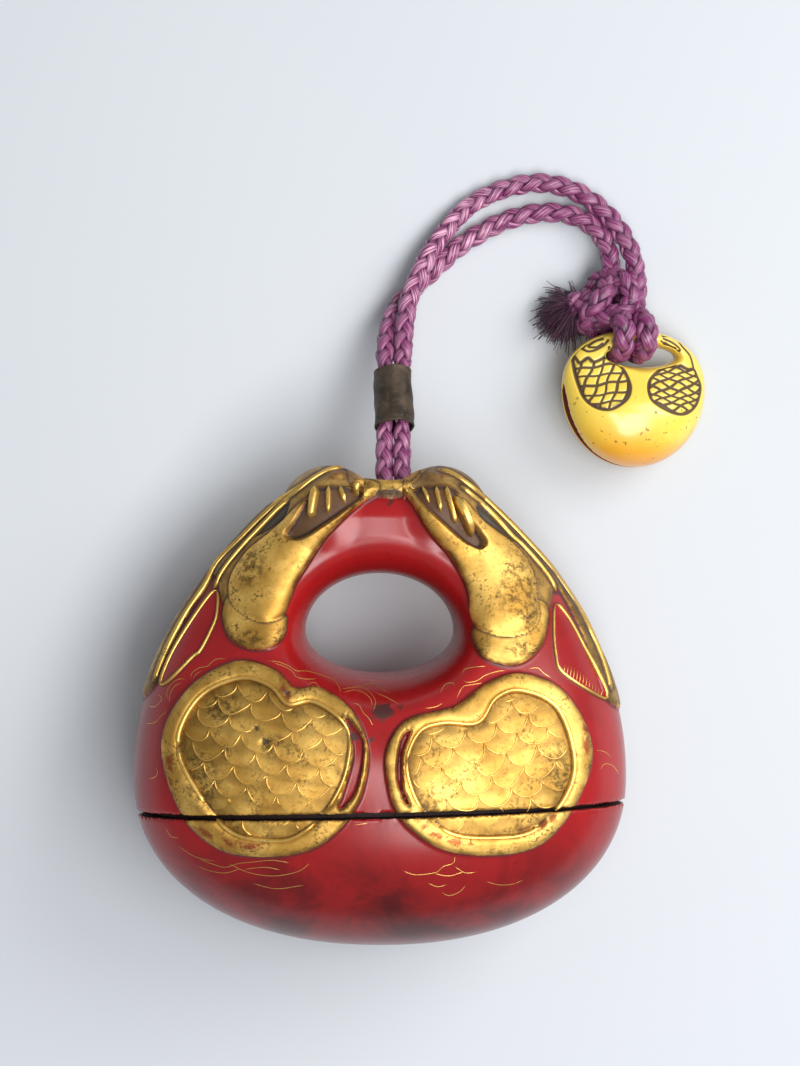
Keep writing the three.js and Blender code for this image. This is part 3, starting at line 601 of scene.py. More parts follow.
class Carving:
    """Heights of the raised work over one face of the case, and the fields that colour it."""

    EDGE = 0.55

    def __init__(self, x, y):
        self.x, self.y = x, y
        self.height = np.zeros(x.shape)
        outside = {name: -3 for name in ("gold", "pocket", "slate", "field", "skin", "spot", "soil")}
        starts = {**outside, "crease": 3, "worn": 0, "scale": 1}
        self.fields = {name: np.full(x.shape, start, float) for name, start in starts.items()}

    def within(self, outline, steps=4):
        """Depth inside a smooth closed outline."""
        return inside_depth(spline(outline, steps, True), self.x, self.y)

    def mark(self, name, value):
        self.fields[name] = np.maximum(self.fields[name], value)

    def unmark(self, name, depth):
        self.fields[name] = np.minimum(self.fields[name], -depth)

    def crease(self, depth):
        """Painted shade and grime along the foot of a wall, on its low side."""
        self.fields["crease"] = np.where(depth < 0, np.minimum(self.fields["crease"], -depth), 3)

    def crease_inside(self, depth):
        """Painted shade and grime along the edge of a hollow, inside it."""
        self.fields["crease"] = np.minimum(self.fields["crease"], np.where(depth > 0, depth, 3))

    def form(self, outline, wall, crown, reach, gold=True, steps=5):
        """A raised form with a steep wall and a round top."""
        depth, soft = inside_depth(spline(outline, steps, True), self.x, self.y, soft=True)
        rise = wall * ease(depth / self.EDGE + 0.5) + crown * pillow(soft / reach)
        self.height = np.maximum(self.height, rise)
        self.crease(depth)
        if gold:
            self.mark("gold", depth)
        return depth

    def ridge(self, line, half_width, rise):
        """A round gold ridge that tapers towards both ends."""
        distance, along = line_distance(spline(line, 5), self.x, self.y)
        width = half_width * (1 - 0.75 * np.abs(2 * along - 1) ** 4)
        self.height = np.maximum(self.height, rise * pillow(1 - distance / width) * (distance < width))
        self.mark("gold", width - distance)

    def sink(self, depth, floor):
        """A hollow with a steep wall, inside an outline's depth."""
        share = ease(depth / self.EDGE + 0.5)
        self.height = self.height * (1 - share) + np.minimum(self.height, floor) * share
        self.crease_inside(depth)

    def panel(self, panel, field, rim, low):
        """The body of a fish: a raised rim round its lower field of scales."""
        self.height = np.maximum(self.height, np.maximum(rim, low))
        self.mark("gold", panel)
        self.mark("field", field)
        self.crease(panel)


def bend_scales(u, v):
    """Hand-drawn unevenness of the rows of scales."""
    return (u + 0.2 * np.sin(0.9 * v + 0.5) + 0.12 * np.sin(1.7 * v + 0.6 * u),
            v + 0.2 * np.sin(0.55 * u + 1) + 0.1 * np.sin(1.3 * u + 0.8 * v))


def scale_rise(x, y, tilt):
    """Fish scales that overlap from the top down, each highest at its lower edge."""
    u, v = bend_scales(x * math.cos(tilt) + y * math.sin(tilt), -x * math.sin(tilt) + y * math.cos(tilt))
    half = SCALE_WIDTH * 0.5
    rise = np.zeros(x.shape)
    free = np.ones(x.shape, bool)
    top = np.floor((v + SCALE_DROP) / SCALE_ROW)
    for below in range(3):
        row = top - below
        shift = np.where(row % 2 == 0, 0, half)
        du = (u - shift + half) % SCALE_WIDTH - half
        dv = row * SCALE_ROW - v
        covers = free & (dv > 0) & ((du / half) ** 2 + (dv / SCALE_DROP) ** 2 < 1)
        rise = np.where(covers, SCALE_STEP * dv / SCALE_DROP, rise)
        free &= ~covers
    return rise


def carve_front(x, y):
    """The two fishes of the front, with their wear, their grime, and the painted shade along their creases
    and under the edges of their scales.
    """
    carving = Carving(x, y)
    for side in range(2):
        carving.mark("skin", carving.form(SKINS[side], *SKIN_RELIEF))
        if side == 0:
            carving.form(BRIDGE, *BRIDGE_RELIEF, steps=3)
        slate = carving.within(SLATES[side])
        carving.mark("slate", slate)
        carving.sink(slate, SLATE_FLOOR)
        carving.unmark("skin", carving.form(UNDER_PADDLES[side], *UNDER_RELIEF))
        carving.unmark("skin", carving.form(PADDLES[side], *PADDLE_RELIEF))
        pocket = carving.within(POCKETS[side])
        carving.sink(pocket, POCKET_FLOOR)
        carving.mark("pocket", pocket)
        carving.unmark("gold", carving.form(FINS[side], *FIN_RELIEF, gold=False, steps=4))
        panel = carving.within(PANELS[side], 5)
        field = carving.within(FIELDS[side], 5)
        wall, crown = RIM_RELIEF
        rim = wall * ease(np.minimum(panel / carving.EDGE, -field) + 0.5)
        rim = rim + crown * pillow(np.minimum(panel, -field) / RIM_WIDTH)
        scales = scale_rise(x, y, SCALE_TILTS[side])
        # The scale field places painted shade just below the lower edge of each overlapping scale.
        carving.fields["scale"] = np.where(field > 0.3, scales / SCALE_STEP, carving.fields["scale"])
        low = np.where(field > 0, FIELD_FLOOR + 0.3 * pillow(field / 7) + scales * ease(field / 0.8), 0)
        carving.panel(panel, field, rim, low)
        carving.crease_inside(field)
        sliver = carving.within(SLIVERS[side])
        carving.sink(sliver, SLIVER_FLOOR)
        carving.unmark("gold", sliver)
    for line, half_width, rise in RIDGES:
        carving.ridge(line, half_width, rise)
    # Painted shade and grime beside the skin lines.
    for line in SKIN_LINES:
        carving.crease_inside(line_distance(spline(line, 4), x, y)[0] - 0.22)
    for at_x, at_y in EYES:
        distance = np.hypot((x - at_x) / 1.7, (y - at_y) / 0.85)
        carving.height = np.maximum(carving.height, 0.6 * ease(1.4 * (1 - distance)) + 0.3 * (distance < 1))
        carving.mark("worn", ease((1.1 - distance) / 0.3))
    for line in RUBS:
        from_line = line_distance(spline(line, 4), x, y)[0]
        carving.mark("worn", ease((0.75 - from_line) / 0.6))
    for at_x, at_y, wide, tall in SOILS:
        carving.mark("soil", 1 - np.hypot((x - at_x) / wide, (y - at_y) / tall))
    for at_x, at_y, size in PITS + STAINS:
        inside = size - np.hypot(x - at_x, (y - at_y) * 1.15)
        carving.mark("spot", inside)
        if size < 1:
            carving.height -= 0.2 * ease(inside / 0.5) * (carving.height > 0.3)
    return carving


def carve_back(x, y):
    """The back shows the same fish in lower relief, with the panels set further out."""
    carving = Carving(x, y)
    for side, shift in enumerate((-BACK_SHIFT, BACK_SHIFT)):
        carving.mark("skin", carving.form(SKINS[side], *SKIN_RELIEF))
        carving.unmark("skin", carving.form(UNDER_PADDLES[side], *BACK_UNDER_RELIEF))
        carving.unmark("skin", carving.form(PADDLES[side], *BACK_PADDLE_RELIEF))
        moved = [(px + shift, py) for px, py in PANELS[side]]
        inner = [(px + shift, py) for px, py in FIELDS[side]]
        panel = carving.within(moved)
        field = carving.within(inner)
        band = np.minimum(panel, -field)
        wall, crown = BACK_RIM_RELIEF
        rim = wall * ease(band / carving.EDGE + 0.5) + crown * pillow(band / RIM_WIDTH)
        scales = scale_rise(x, y, SCALE_TILTS[side])
        low = np.where(field > 0, BACK_FIELD_FLOOR + scales * ease(field / 0.8), 0)
        carving.panel(panel, field, rim, low)
    return carving


def front_point(x, y, rise, step=0.2):
    """Points at a height over the plain front of the case, along its normal."""
    slope_x = (CASE.depth(x + step, y) - CASE.depth(x - step, y)) / (2 * step)
    slope_y = (CASE.depth(x, y + step) - CASE.depth(x, y - step)) / (2 * step)
    share = rise / np.sqrt(slope_x ** 2 + slope_y ** 2 + 1)
    z = MIDDLE_Z + CASE.depth(x, y) + share
    return np.stack([x - slope_x * share, y - slope_y * share, z], axis=-1)


# Mesh helpers

def deselect_all():
    if bpy.context.object and bpy.context.object.mode != "OBJECT":
        bpy.ops.object.mode_set(mode="OBJECT")
    bpy.ops.object.select_all(action="DESELECT")


def pick(piece):
    deselect_all()
    piece.select_set(True)
    bpy.context.view_layer.objects.active = piece


def name_piece(name):
    piece = bpy.context.object
    piece.name = name
    piece.data.name = name
    return piece


def closed_grid(values):
    """A grid's values with the first row and column once more after the last, flat and in single floats."""
    edges = ((0, 1), (0, 1)) + ((0, 0),) * (values.ndim - 2)
    return np.pad(values, edges, mode="wrap").astype(np.float32).ravel()


def ring_piece(name, points, fields):
    """A closed ring of sections: a flat grid moved onto its points, with its edges joined."""
    around, section = points.shape[:2]
    deselect_all()
    bpy.ops.mesh.primitive_grid_add(x_subdivisions=section, y_subdivisions=around, size=0.1)
    piece = name_piece(name)
    places = closed_grid(points * MM)
    if places.size != 3 * len(piece.data.vertices):
        raise RuntimeError("{} has a grid of the wrong size".format(name))
    piece.data.vertices.foreach_set("co", places)
    for field_name, values in fields.items():
        field = piece.data.attributes.new(field_name, "FLOAT", "POINT")
        field.data.foreach_set("value", closed_grid(values))
    bpy.ops.object.mode_set(mode="EDIT")
    bpy.ops.mesh.select_all(action="SELECT")
    bpy.ops.mesh.remove_doubles(threshold=1e-6)
    bpy.ops.mesh.normals_make_consistent(inside=False)
    bpy.ops.object.mode_set(mode="OBJECT")
    return piece


def mesh_piece(name, points, faces):
    """A piece from its points in millimetres and its faces."""
    mesh = bpy.data.meshes.new(name)
    mesh.from_pydata((np.asarray(points, float) * MM).tolist(), [], faces)
    mesh.validate()
    piece = bpy.data.objects.new(name, mesh)
    bpy.context.scene.collection.objects.link(piece)
    return piece


def face_outwards(piece):
    body = bmesh.new()
    body.from_mesh(piece.data)
    bmesh.ops.recalc_face_normals(body, faces=body.faces)
    body.to_mesh(piece.data)
    body.free()


def grid_normals(points):
    across = np.roll(points, -1, axis=0) - np.roll(points, 1, axis=0)
    along = np.roll(points, -1, axis=1) - np.roll(points, 1, axis=1)
    return unit(np.cross(across, along))


def finish_piece(piece, material, slot, *nodes, smooth=True):
    """Give a piece its material, put it under the root body and hide the parts of the nodes it stands for.
    The slot is not used.
    """
    piece.data.materials.clear()
    piece.data.materials.append(material)
    if smooth:
        pick(piece)
        bpy.ops.object.shade_smooth()
        deselect_all()
    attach(piece, "root")
    if nodes:
        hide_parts(*nodes)
    return piece


def capped_tube(rows, sides, first):
    """Faces of a tube of rings of points, closed at both ends."""
    faces = []
    for row in range(rows - 1):
        for side in range(sides):
            a = first + row * sides + side
            b = first + row * sides + (side + 1) % sides
            faces.append((a, b, b + sides, a + sides))
    last = first + (rows - 1) * sides
    faces.append(tuple(first + side for side in reversed(range(sides))))
    faces.append(tuple(last + side for side in range(sides)))
    return faces


# Case

def case_form():
    """The whole closed case: a ring of sections moved onto the carved form."""
    settings = bpy.context.scene.inro_case
    front, back = settings.front_rings, settings.back_rings
    x, y, depth, side = CASE.grid(settings.sections, front, back)
    points = np.stack([x, y, MIDDLE_Z + side * depth], axis=-1)
    normal = grid_normals(points)
    faces = (carve_front(x[:, :front], y[:, :front]), carve_back(x[:, front:], y[:, front:]))
    height = np.concatenate([face.height for face in faces], axis=1)
    height *= ease(depth / RELIEF_FADE) * settings.relief
    points = points + normal * height[..., None]
    bore_x = points[..., 0] - np.clip(points[..., 0], BORE_X - BORE_SPREAD, BORE_X + BORE_SPREAD)
    from_bore = np.hypot(bore_x, points[..., 2] - BORE_Z)
    in_bore = (points[..., 1] > BORE_END - 2) * ease((BORE_RADIUS - from_bore) / 0.4)
    points[..., 1] = points[..., 1] * (1 - in_bore) + np.minimum(points[..., 1], BORE_END) * in_bore
    points[..., 2] = np.maximum(points[..., 2], 0)
    fields = {name: np.concatenate([face.fields[name] for face in faces], axis=1) for name in faces[0].fields}
    return ring_piece("case_form", points, {**fields, "bore": in_bore, "tall": height})


def seam_point(height):
    """A point of the seam's axis, at a height over the middle of the seam."""
    return Vector((-height * math.sin(SEAM_TURN), SEAM_Y + height * math.cos(SEAM_TURN), MIDDLE_Z)) * MM


def cut_at_seam(form, name, side):
    """A copy of the case form, cut off at its side of the seam and left open there."""
    pick(form)
    bpy.ops.object.duplicate()
    piece = name_piece(name)
    bpy.ops.object.mode_set(mode="EDIT")
    bpy.ops.mesh.select_all(action="SELECT")
    axis = Vector((-math.sin(SEAM_TURN), math.cos(SEAM_TURN), 0))
    bpy.ops.mesh.bisect(
        plane_co=seam_point(side * SEAM_HALF_GAP), plane_no=axis * side, clear_inner=True, clear_outer=False,
        use_fill=False, threshold=1e-7)
    bpy.ops.object.mode_set(mode="OBJECT")
    return piece


def seam_gape(x, side):
    """How far the seam stands open at the front: widest left of its middle, and chipped all along."""
    middle = max(0, 1 - ((x + 4) / 30) ** 2)
    chip = 0.03 * math.sin(2.1 * x) + 0.025 * math.sin(5.3 * x + 1)
    return (0.2 if side > 0 else 0.1) * middle + chip


def hollow_out(piece, rings):
    """Walls from the open edge inwards: rings of height over the seam and inset from the mouth's size."""
    mouth = [float(size_at(np.array(SEAM_Y))) - MOUTH_WALL for size_at in (case_width, case_depth)]
    turned = Matrix.Rotation(SEAM_TURN, 3, "Z")
    inverse = turned.inverted()
    centre = seam_point(0)
    body = bmesh.new()
    body.from_mesh(piece.data)
    bmesh.ops.remove_doubles(body, verts=body.verts, dist=2e-6)
    bmesh.ops.dissolve_degenerate(body, edges=body.edges, dist=1e-6)
    inside = body.verts.layers.float.new("inside")
    edge = [e for e in body.edges if e.is_boundary]
    side = 1 if rings[0][0] > 0 else -1
    for vert in body.verts:
        flat = (inverse @ (vert.co - centre)) / MM
        above = side * flat.y - SEAM_HALF_GAP
        if above < SEAM_WEAR and flat.z > 0:
            flat.y += side * seam_gape(flat.x, side) * (1 - above / SEAM_WEAR) ** 2 * min(1, flat.z / 6)
            vert.co = turned @ (flat * MM) + centre
    for vert in {v for e in edge for v in e.verts}:
        flat = inverse @ (vert.co - centre)
        for axis in (0, 2):
            flat[axis] *= 1 - MOUTH_BEVEL * MM / max(abs(flat[axis]), 4 * MM)
        vert.co = turned @ flat + centre
    for height, inset, share in rings:
        made = bmesh.ops.extrude_edge_only(body, edges=edge)["geom"]
        verts = [item for item in made if isinstance(item, bmesh.types.BMVert)]
        edge = [item for item in made if isinstance(item, bmesh.types.BMEdge)]
        for vert in verts:
            flat = inverse @ (vert.co - centre)
            wide, deep = (mouth[0] - inset) * MM, (mouth[1] - inset) * MM
            turn = math.atan2(flat.z / deep, flat.x / wide)
            power = (abs(math.cos(turn)) ** ROUNDNESS + abs(math.sin(turn)) ** ROUNDNESS) ** (-1 / ROUNDNESS)
            reach = max(share, 1e-3) * power
            place = Vector((wide * math.cos(turn) * reach, height * MM, deep * math.sin(turn) * reach))
            vert.co = turned @ place + centre
            vert[inside] = 1
    bmesh.ops.pointmerge(body, verts=verts, merge_co=sum((v.co for v in verts), Vector()) / len(verts))
    bmesh.ops.recalc_face_normals(body, faces=body.faces)
    body.to_mesh(piece.data)
    body.free()


def dome_rings(start, reach, inset, steps=9):
    """Rings that close a hollow with a dome."""
    turns = [i / steps * math.pi / 2 for i in range(1, steps + 1)]
    return [(start + reach * math.sin(turn), inset, math.cos(turn)) for turn in turns]


# Gold lines, laid on the carved front as thin closed ribbons

def seam_side(x, y):
    """Height over the middle of the seam."""
    return (y - SEAM_Y) * math.cos(SEAM_TURN) + x * math.sin(SEAM_TURN)


def split_clear(line, above):
    """The stretches of a line that keep clear of the seam, on one side of it."""
    height = seam_side(line[:, 0], line[:, 1]) * (1 if above else -1)
    return clear_runs(line, height > SEAM_HALF_GAP + 0.6, 4)


def scale_arcs(side):
    """The lower edges of the fish scales in one panel."""
    outline = spline(FIELDS[side], 5, True)
    tilt = SCALE_TILTS[side]
    turn = np.linspace(math.radians(186), math.radians(354), 17)
    arcs = []
    for row in range(-16, 16):
        for column in range(-12, 12):
            shift = 0 if row % 2 == 0 else SCALE_WIDTH / 2
            u = column * SCALE_WIDTH + shift + SCALE_WIDTH / 2 * np.cos(turn)
            v = row * SCALE_ROW + SCALE_DROP * np.sin(turn)
            bent = bend_scales(u, v)
            u, v = 2 * u - bent[0], 2 * v - bent[1]
            x = u * math.cos(tilt) - v * math.sin(tilt)
            y = u * math.sin(tilt) + v * math.cos(tilt)
            clear = inside_depth(outline, x, y) > 0.3
            pits = [np.hypot(x - px, y - py) < size for px, py, size in PITS]
            clear &= ~np.any(pits, axis=0)
            arcs += clear_runs(np.stack([x, y], axis=1), clear, 7)
    return arcs


def hatch_lines():
    """Short strokes on the right under-paddle and along the foot of the fins."""
    strokes = []
    for share in np.linspace(0, 1, 11):
        x, y = 22.3 - 1.2 * (1 - share) ** 2, 7.9 + 4.8 * share
        strokes.append([(x - 0.9, y - 0.25), (x - 0.4, y - 0.1), (x, y + 0.1)])
    for share in np.linspace(0, 1, 13):
        x, y = 24.9 + 5.2 * share, 4.9 - 3.2 * share
        strokes.append([(x, y + 0.1), (x + 0.15, y + 0.7), (x + 0.2, y + 1.3 + 0.3 * math.sin(5 * share))])
    for share in np.linspace(0, 1, 8):
        x, y = -25.6 - 2.9 * share, 7 - 2.9 * share
        strokes.append([(x, y), (x + 0.1, y + 0.5), (x + 0.25, y + 0.9)])
    return strokes


def closed_line(outline):
    """The points of a closed outline, which end where they start."""
    loop = spline(outline, 4, True)
    return np.concatenate([loop, loop[:1]])


def ribbon_piece(name, lines, above):
    """Closed ribbons with a three-sided section. Each line is points, half width and rise."""
    parts = []
    for points, half, rise in lines:
        curve = even_steps(spline(points, 5), RIBBON_STEP)
        for stretch in split_clear(curve, above):
            ahead = unit(np.gradient(stretch, axis=0))
            order = np.arange(len(stretch))
            taper = np.minimum(1, np.minimum(order, order[::-1]) * 0.4 + 0.25)
            left = np.stack([-ahead[:, 1], ahead[:, 0]], axis=1) * (half * taper)[:, None]
            parts.append((stretch, left, rise * taper))
    middle, left, rise = (np.concatenate(column) for column in zip(*parts))
    plan = np.stack([middle + left, middle - left, middle], axis=1)
    ground = carve_front(plan[..., 0], plan[..., 1]).height
    ground = ground * ease(CASE.depth(plan[..., 0], plan[..., 1]) / RELIEF_FADE)
    ground[:, 2] = ground.max(axis=1)
    faces, first = [], 0
    for stretch, _, _ in parts:
        count = len(stretch)
        padded = np.pad(ground[first:first + count], ((2, 2), (0, 0)), mode="edge")
        ground[first:first + count] = sum(padded[i:i + count] for i in range(5)) / 5
        faces += capped_tube(count, 3, 3 * first)
        first += count
    foot = np.full(len(rise), -RIBBON_FOOT)
    points = front_point(plan[..., 0], plan[..., 1], ground + np.stack([foot, foot, rise], axis=1))
    piece = mesh_piece(name, points.reshape(-1, 3), faces)
    face_outwards(piece)
    return piece


# Toggle

def toggle_to_part(points):
    """From the toggle's own frame to the part's."""
    across, deep = math.cos(TOGGLE_LEAN), math.sin(TOGGLE_LEAN)
    lean = np.array([[across, 0, deep], [0, 1, 0], [-deep, 0, across]])
    return points @ lean.T + np.array(TOGGLE_AT)


def lattice_distance(x, y, side):
    """Distance to the nearest line of the scale lattice on one fish of the toggle."""
    slants, gap = TOGGLE_LATTICES[side]
    bend = 0.1 * np.sin(x * 1.7 + side) + 0.1 * np.sin(y * 1.9)
    distances = []
    for angle in slants:
        run = (-math.sin(angle) * x + math.cos(angle) * y + bend) / gap
        distances.append(np.abs(run - np.round(run)) * gap)
    return np.minimum(*distances)


def toggle_form():
    """The toggle's form, with its engraving and its slit."""
    settings = bpy.context.scene.inro_toggle
    front, back = settings.front_rings, settings.back_rings
    x, y, depth, side = TOGGLE.grid(settings.sections, front, back)
    points = np.stack([x, y, side * depth], axis=-1)
    normal = grid_normals(points)
    line = np.full(x.shape, 3.0)
    shade = np.zeros(x.shape)
    front_x, front_y = x[:, :front], y[:, :front]
    near, dirt_and_shade = line[:, :front], shade[:, :front]
    for fish in range(2):
        depth_in = inside_depth(spline(TOGGLE_BODIES[fish], 4, True), front_x, front_y)
        lattice = lattice_distance(front_x, front_y, fish)
        near[:] = np.minimum(near, np.abs(depth_in) * 0.8)
        near[:] = np.where(depth_in > 0, np.minimum(near, lattice), near)
        dirt_and_shade[:] = np.maximum(dirt_and_shade, np.where(depth_in > 0, np.exp(-depth_in / 0.45), 0))
    for stroke in TOGGLE_LINES:
        near[:] = np.minimum(near, line_distance(spline(stroke, 4), front_x, front_y)[0])
    near += 3 * ease((0.4 - normal[:, :front, 2]) / 0.2)
    points = points - normal * (ENGRAVING_DEPTH * np.exp(-(line / 0.2) ** 2))[..., None]
    left = ease(-(points[..., 0] + 6) / 3.5)
    gape = (SLIT_GAPE + 0.25 * left) * np.sqrt(np.clip((2 - points[..., 1]) / 2.5, 0, 1))
    ring = np.hypot(points[..., 0] / SLIT_CORE[0], (points[..., 1] - TOGGLE_WIDEST) / SLIT_CORE[1])
    cut = ease((SLIT_TOP - points[..., 1]) / 0.9) * (ring > 1)
    cut = cut * ease((gape - np.abs(points[..., 2] - 0.45 * left)) / 0.16)
    shrink = 1 - cut * (1 - 1 / np.maximum(ring, 1))
    points[..., 0] *= shrink
    points[..., 1] = TOGGLE_WIDEST + (points[..., 1] - TOGGLE_WIDEST) * shrink
    placed = toggle_to_part(points)
    placed[..., 2] = np.maximum(placed[..., 2], 0)
    fields = {"line": line, "dirt_and_shade": shade, "slit": cut, "low": (2 - y) / (TOGGLE_WIDEST - TOGGLE_LOW)}
    return ring_piece("netsuke_toggle", placed, fields)


# Bead

def bead_form():
    """A tube of sheet metal with dents, a ragged edge and beaded lips."""
    deselect_all()
    bpy.ops.mesh.primitive_cylinder_add(
        vertices=96, radius=BEAD_RADIUS * MM, depth=BEAD_LENGTH * MM, end_fill_type="NOTHING")
    piece = name_piece("ojime_bead_tube")
    bpy.ops.object.mode_set(mode="EDIT")
    bpy.ops.mesh.select_all(action="SELECT")
    bpy.ops.mesh.subdivide(number_cuts=1)
    bpy.ops.object.mode_set(mode="OBJECT")
    body = bmesh.new()
    body.from_mesh(piece.data)
    long_edges = [e for e in body.edges if abs(e.verts[0].co.z - e.verts[1].co.z) > 0.001]
    bmesh.ops.subdivide_edges(body, edges=long_edges, cuts=23, use_grid_fill=True)
    for vert in body.verts:
        x, y, z = vert.co / MM
        turn, share = math.atan2(y, x), 2 * z / BEAD_LENGTH
        dent = 0.07 * math.sin(2 * turn + 1.3 + 2 * share) + 0.05 * math.sin(5 * turn - 3 * share)
        dent += 0.04 * math.sin(9 * share + 3 * turn) + 0.05 * max(0, abs(share) - 0.86) / 0.14
        dent -= 0.03 * (1 - share ** 2)
        edge = 0.14 * math.sin(turn + 0.6) + 0.06 * math.sin(4 * turn)
        scale = (1 + dent / BEAD_RADIUS) * (1 - 0.035 * share)
        vert.co = Vector((x * scale, y * scale, z * 0.965 + edge * abs(share) ** 3)) * MM
    body.to_mesh(piece.data)
    body.free()
    pick(piece)
    wall = piece.modifiers.new("wall", "SOLIDIFY")
    wall.thickness = BEAD_WALL * MM
    wall.offset = -1
    bpy.ops.object.modifier_apply(modifier="wall")
    lip = piece.modifiers.new("lip", "BEVEL")
    lip.width = BEAD_LIP * MM
    lip.segments = 2
    lip.limit_method = "ANGLE"
    lip.angle_limit = math.radians(50)
    bpy.ops.object.modifier_apply(modifier="lip")
    turn = Matrix.Rotation(math.radians(2.5), 4, "Z") @ Matrix.Rotation(BEAD_SLOPE - math.pi / 2, 4, "X")
    piece.data.transform(Matrix.Translation(Vector(BEAD_AT) * MM) @ turn)
    return piece


# Cord

def path_frames(path):
    """Unit vectors across and over a path at each of its points, carried along without twist."""
    ahead = unit(np.gradient(path, axis=0))
    across = np.zeros_like(path)
    start = np.cross(ahead[0], (0, 0, 1.0))
    if np.linalg.norm(start) < 0.1:
        start = np.cross(ahead[0], (0, 1.0, 0))
    across[0] = unit(start)
    for i in range(1, len(path)):
        across[i] = unit(across[i - 1] - ahead[i] * np.dot(across[i - 1], ahead[i]))
    return across, np.cross(across, ahead)


class YarnBundle:
    """Yarns gathered into one mesh, each with a UV map that runs along it in centimetres."""

    def __init__(self, sides=8):
        self.sides = sides
        self.points, self.faces, self.uv, self.crowns = [], [], [], []
        self.count = 0

    def add(self, centre, across, over, wide, thick, seed, crown=0.5):
        """One yarn round its centre line, with its half width and half thickness."""
        rows, sides = len(centre), self.sides
        turn = np.arange(sides) / sides * TAU
        ring = across[:, None] * (np.cos(turn)[None, :, None] * np.reshape(wide, (-1, 1, 1)))
        ring = ring + over[:, None] * (np.sin(turn)[None, :, None] * np.reshape(thick, (-1, 1, 1)))
        self.points.append((centre[:, None] + ring).reshape(-1, 3))
        self.crowns.append(np.repeat(np.broadcast_to(crown, rows), sides))
        self.faces += capped_tube(rows, sides, self.count)
        self.count += rows * sides
        run = run_along(centre) / 10 + seed
        for start, end in zip(run, run[1:]):
            for side in range(sides):
                u0, u1 = side / sides, (side + 1) / sides
                self.uv += [(start, u0), (start, u1), (end, u1), (end, u0)]
        self.uv += [(run[0], 0)] * sides + [(run[-1], 0)] * sides

    def braid(self, path, radius, pitch, seed, squeeze=1.0, swell=1.0):
        """Eight yarns braided round a path, four each way, each over two and under two."""
        across, over = path_frames(path)
        run = run_along(path)
        squeeze = np.broadcast_to(squeeze, run.shape)
        swell = np.broadcast_to(swell, run.shape)
        twist = math.pi / 4 + 0.35 * np.sin(run / 9 + seed)
        for yarn in range(8):
            way = 1 if yarn < 4 else -1
            turn = way * TAU * run / pitch + (yarn % 4) * math.pi / 2 + (math.pi / 4 if way < 0 else 0)
            weave = way * np.cos(2 * turn)
            angle = turn + twist
            out = radius * (0.47 + 0.21 * weave) * swell
            centre = path + across * (out * np.cos(angle) * squeeze)[:, None]
            centre = centre + over * (out * np.sin(angle))[:, None]
            yarn_ahead = unit(np.gradient(centre, axis=0))
            radial = across * np.cos(angle)[:, None] + over * np.sin(angle)[:, None]
            side = unit(np.cross(yarn_ahead, radial))
            top = np.cross(side, yarn_ahead)
            full = 0.8 + 0.2 * weave
            wide, thick = radius * 0.53 * swell * full, radius * 0.31 * swell * full
            self.add(centre, side, top, wide, thick, seed + yarn * 1.37, (1 + weave) / 2)

    def piece(self, name):
        """All the yarns as one piece, with their UV map and the crowns of the braid."""
        piece = mesh_piece(name, np.concatenate(self.points), self.faces)
        layer = piece.data.uv_layers.new(name="fibre")
        if len(self.uv) != len(piece.data.loops):
            raise RuntimeError("{} lost faces".format(name))
        layer.data.foreach_set("uv", np.array(self.uv, np.float32).ravel())
        crown = piece.data.attributes.new("crown", "FLOAT", "POINT")
        crown.data.foreach_set("value", np.concatenate(self.crowns).astype(np.float32))
        face_outwards(piece)
        return piece


def strand_piece(name, route, seed, radius, pitch):
    """One braided strand, squeezed where it runs beside the other through the bore and the bead."""
    path = even_steps(spline(route, 12), YARN_STEP)
    in_bead = ease((6.5 - np.abs(path[:, 1] - BEAD_AT[1])) / 2.5)
    near_case = ease((40 - path[:, 1]) / 4)
    squeeze = 1 - 0.12 * np.maximum(in_bead, near_case)
    bundle = YarnBundle()
    bundle.braid(path, radius, pitch, seed, squeeze=squeeze, swell=1 - 0.14 * in_bead)
    return bundle.piece(name), path


def loop_path(local_x, tall, deep, start, turns, drift):
    """A little more than one turn of a coil round the toggle's bar."""
    turn = np.linspace(0, TAU * turns, int(60 * turns)) + start
    up, normal = np.array([0, 1.0, 0]), np.array([math.sin(TOGGLE_LEAN), 0, math.cos(TOGGLE_LEAN)])
    path = toggle_to_part(np.array([[local_x, 9, 0.0]]))[0] + np.outer(np.cos(turn) * tall, up)
    path = path + np.outer(np.sin(turn) * deep, normal)
    return path + np.outer(np.linspace(-0.5, 0.5, len(turn)) * drift, np.cross(up, normal))


def knot_form():
    """The loops round the toggle's bar, the knot above them and the stub that frays."""
    bundle = YarnBundle()
    for local_x, size in LOOPS:
        path = loop_path(local_x, tall=2.5, deep=4.4, start=-2.2, turns=1.06, drift=0.5)
        bundle.braid(even_steps(path, YARN_STEP), size, 9, seed=local_x)
    for route, size, seed in KNOT_BENDS:
        bundle.braid(even_steps(spline(route, 14), YARN_STEP), size, 10, seed)
    path = even_steps(spline(STUB, 12), YARN_STEP)
    bundle.braid(path, 1.7, 8, seed=6, swell=np.linspace(1, 1.15, len(path)))
    return bundle.piece("cord_knot_braid")


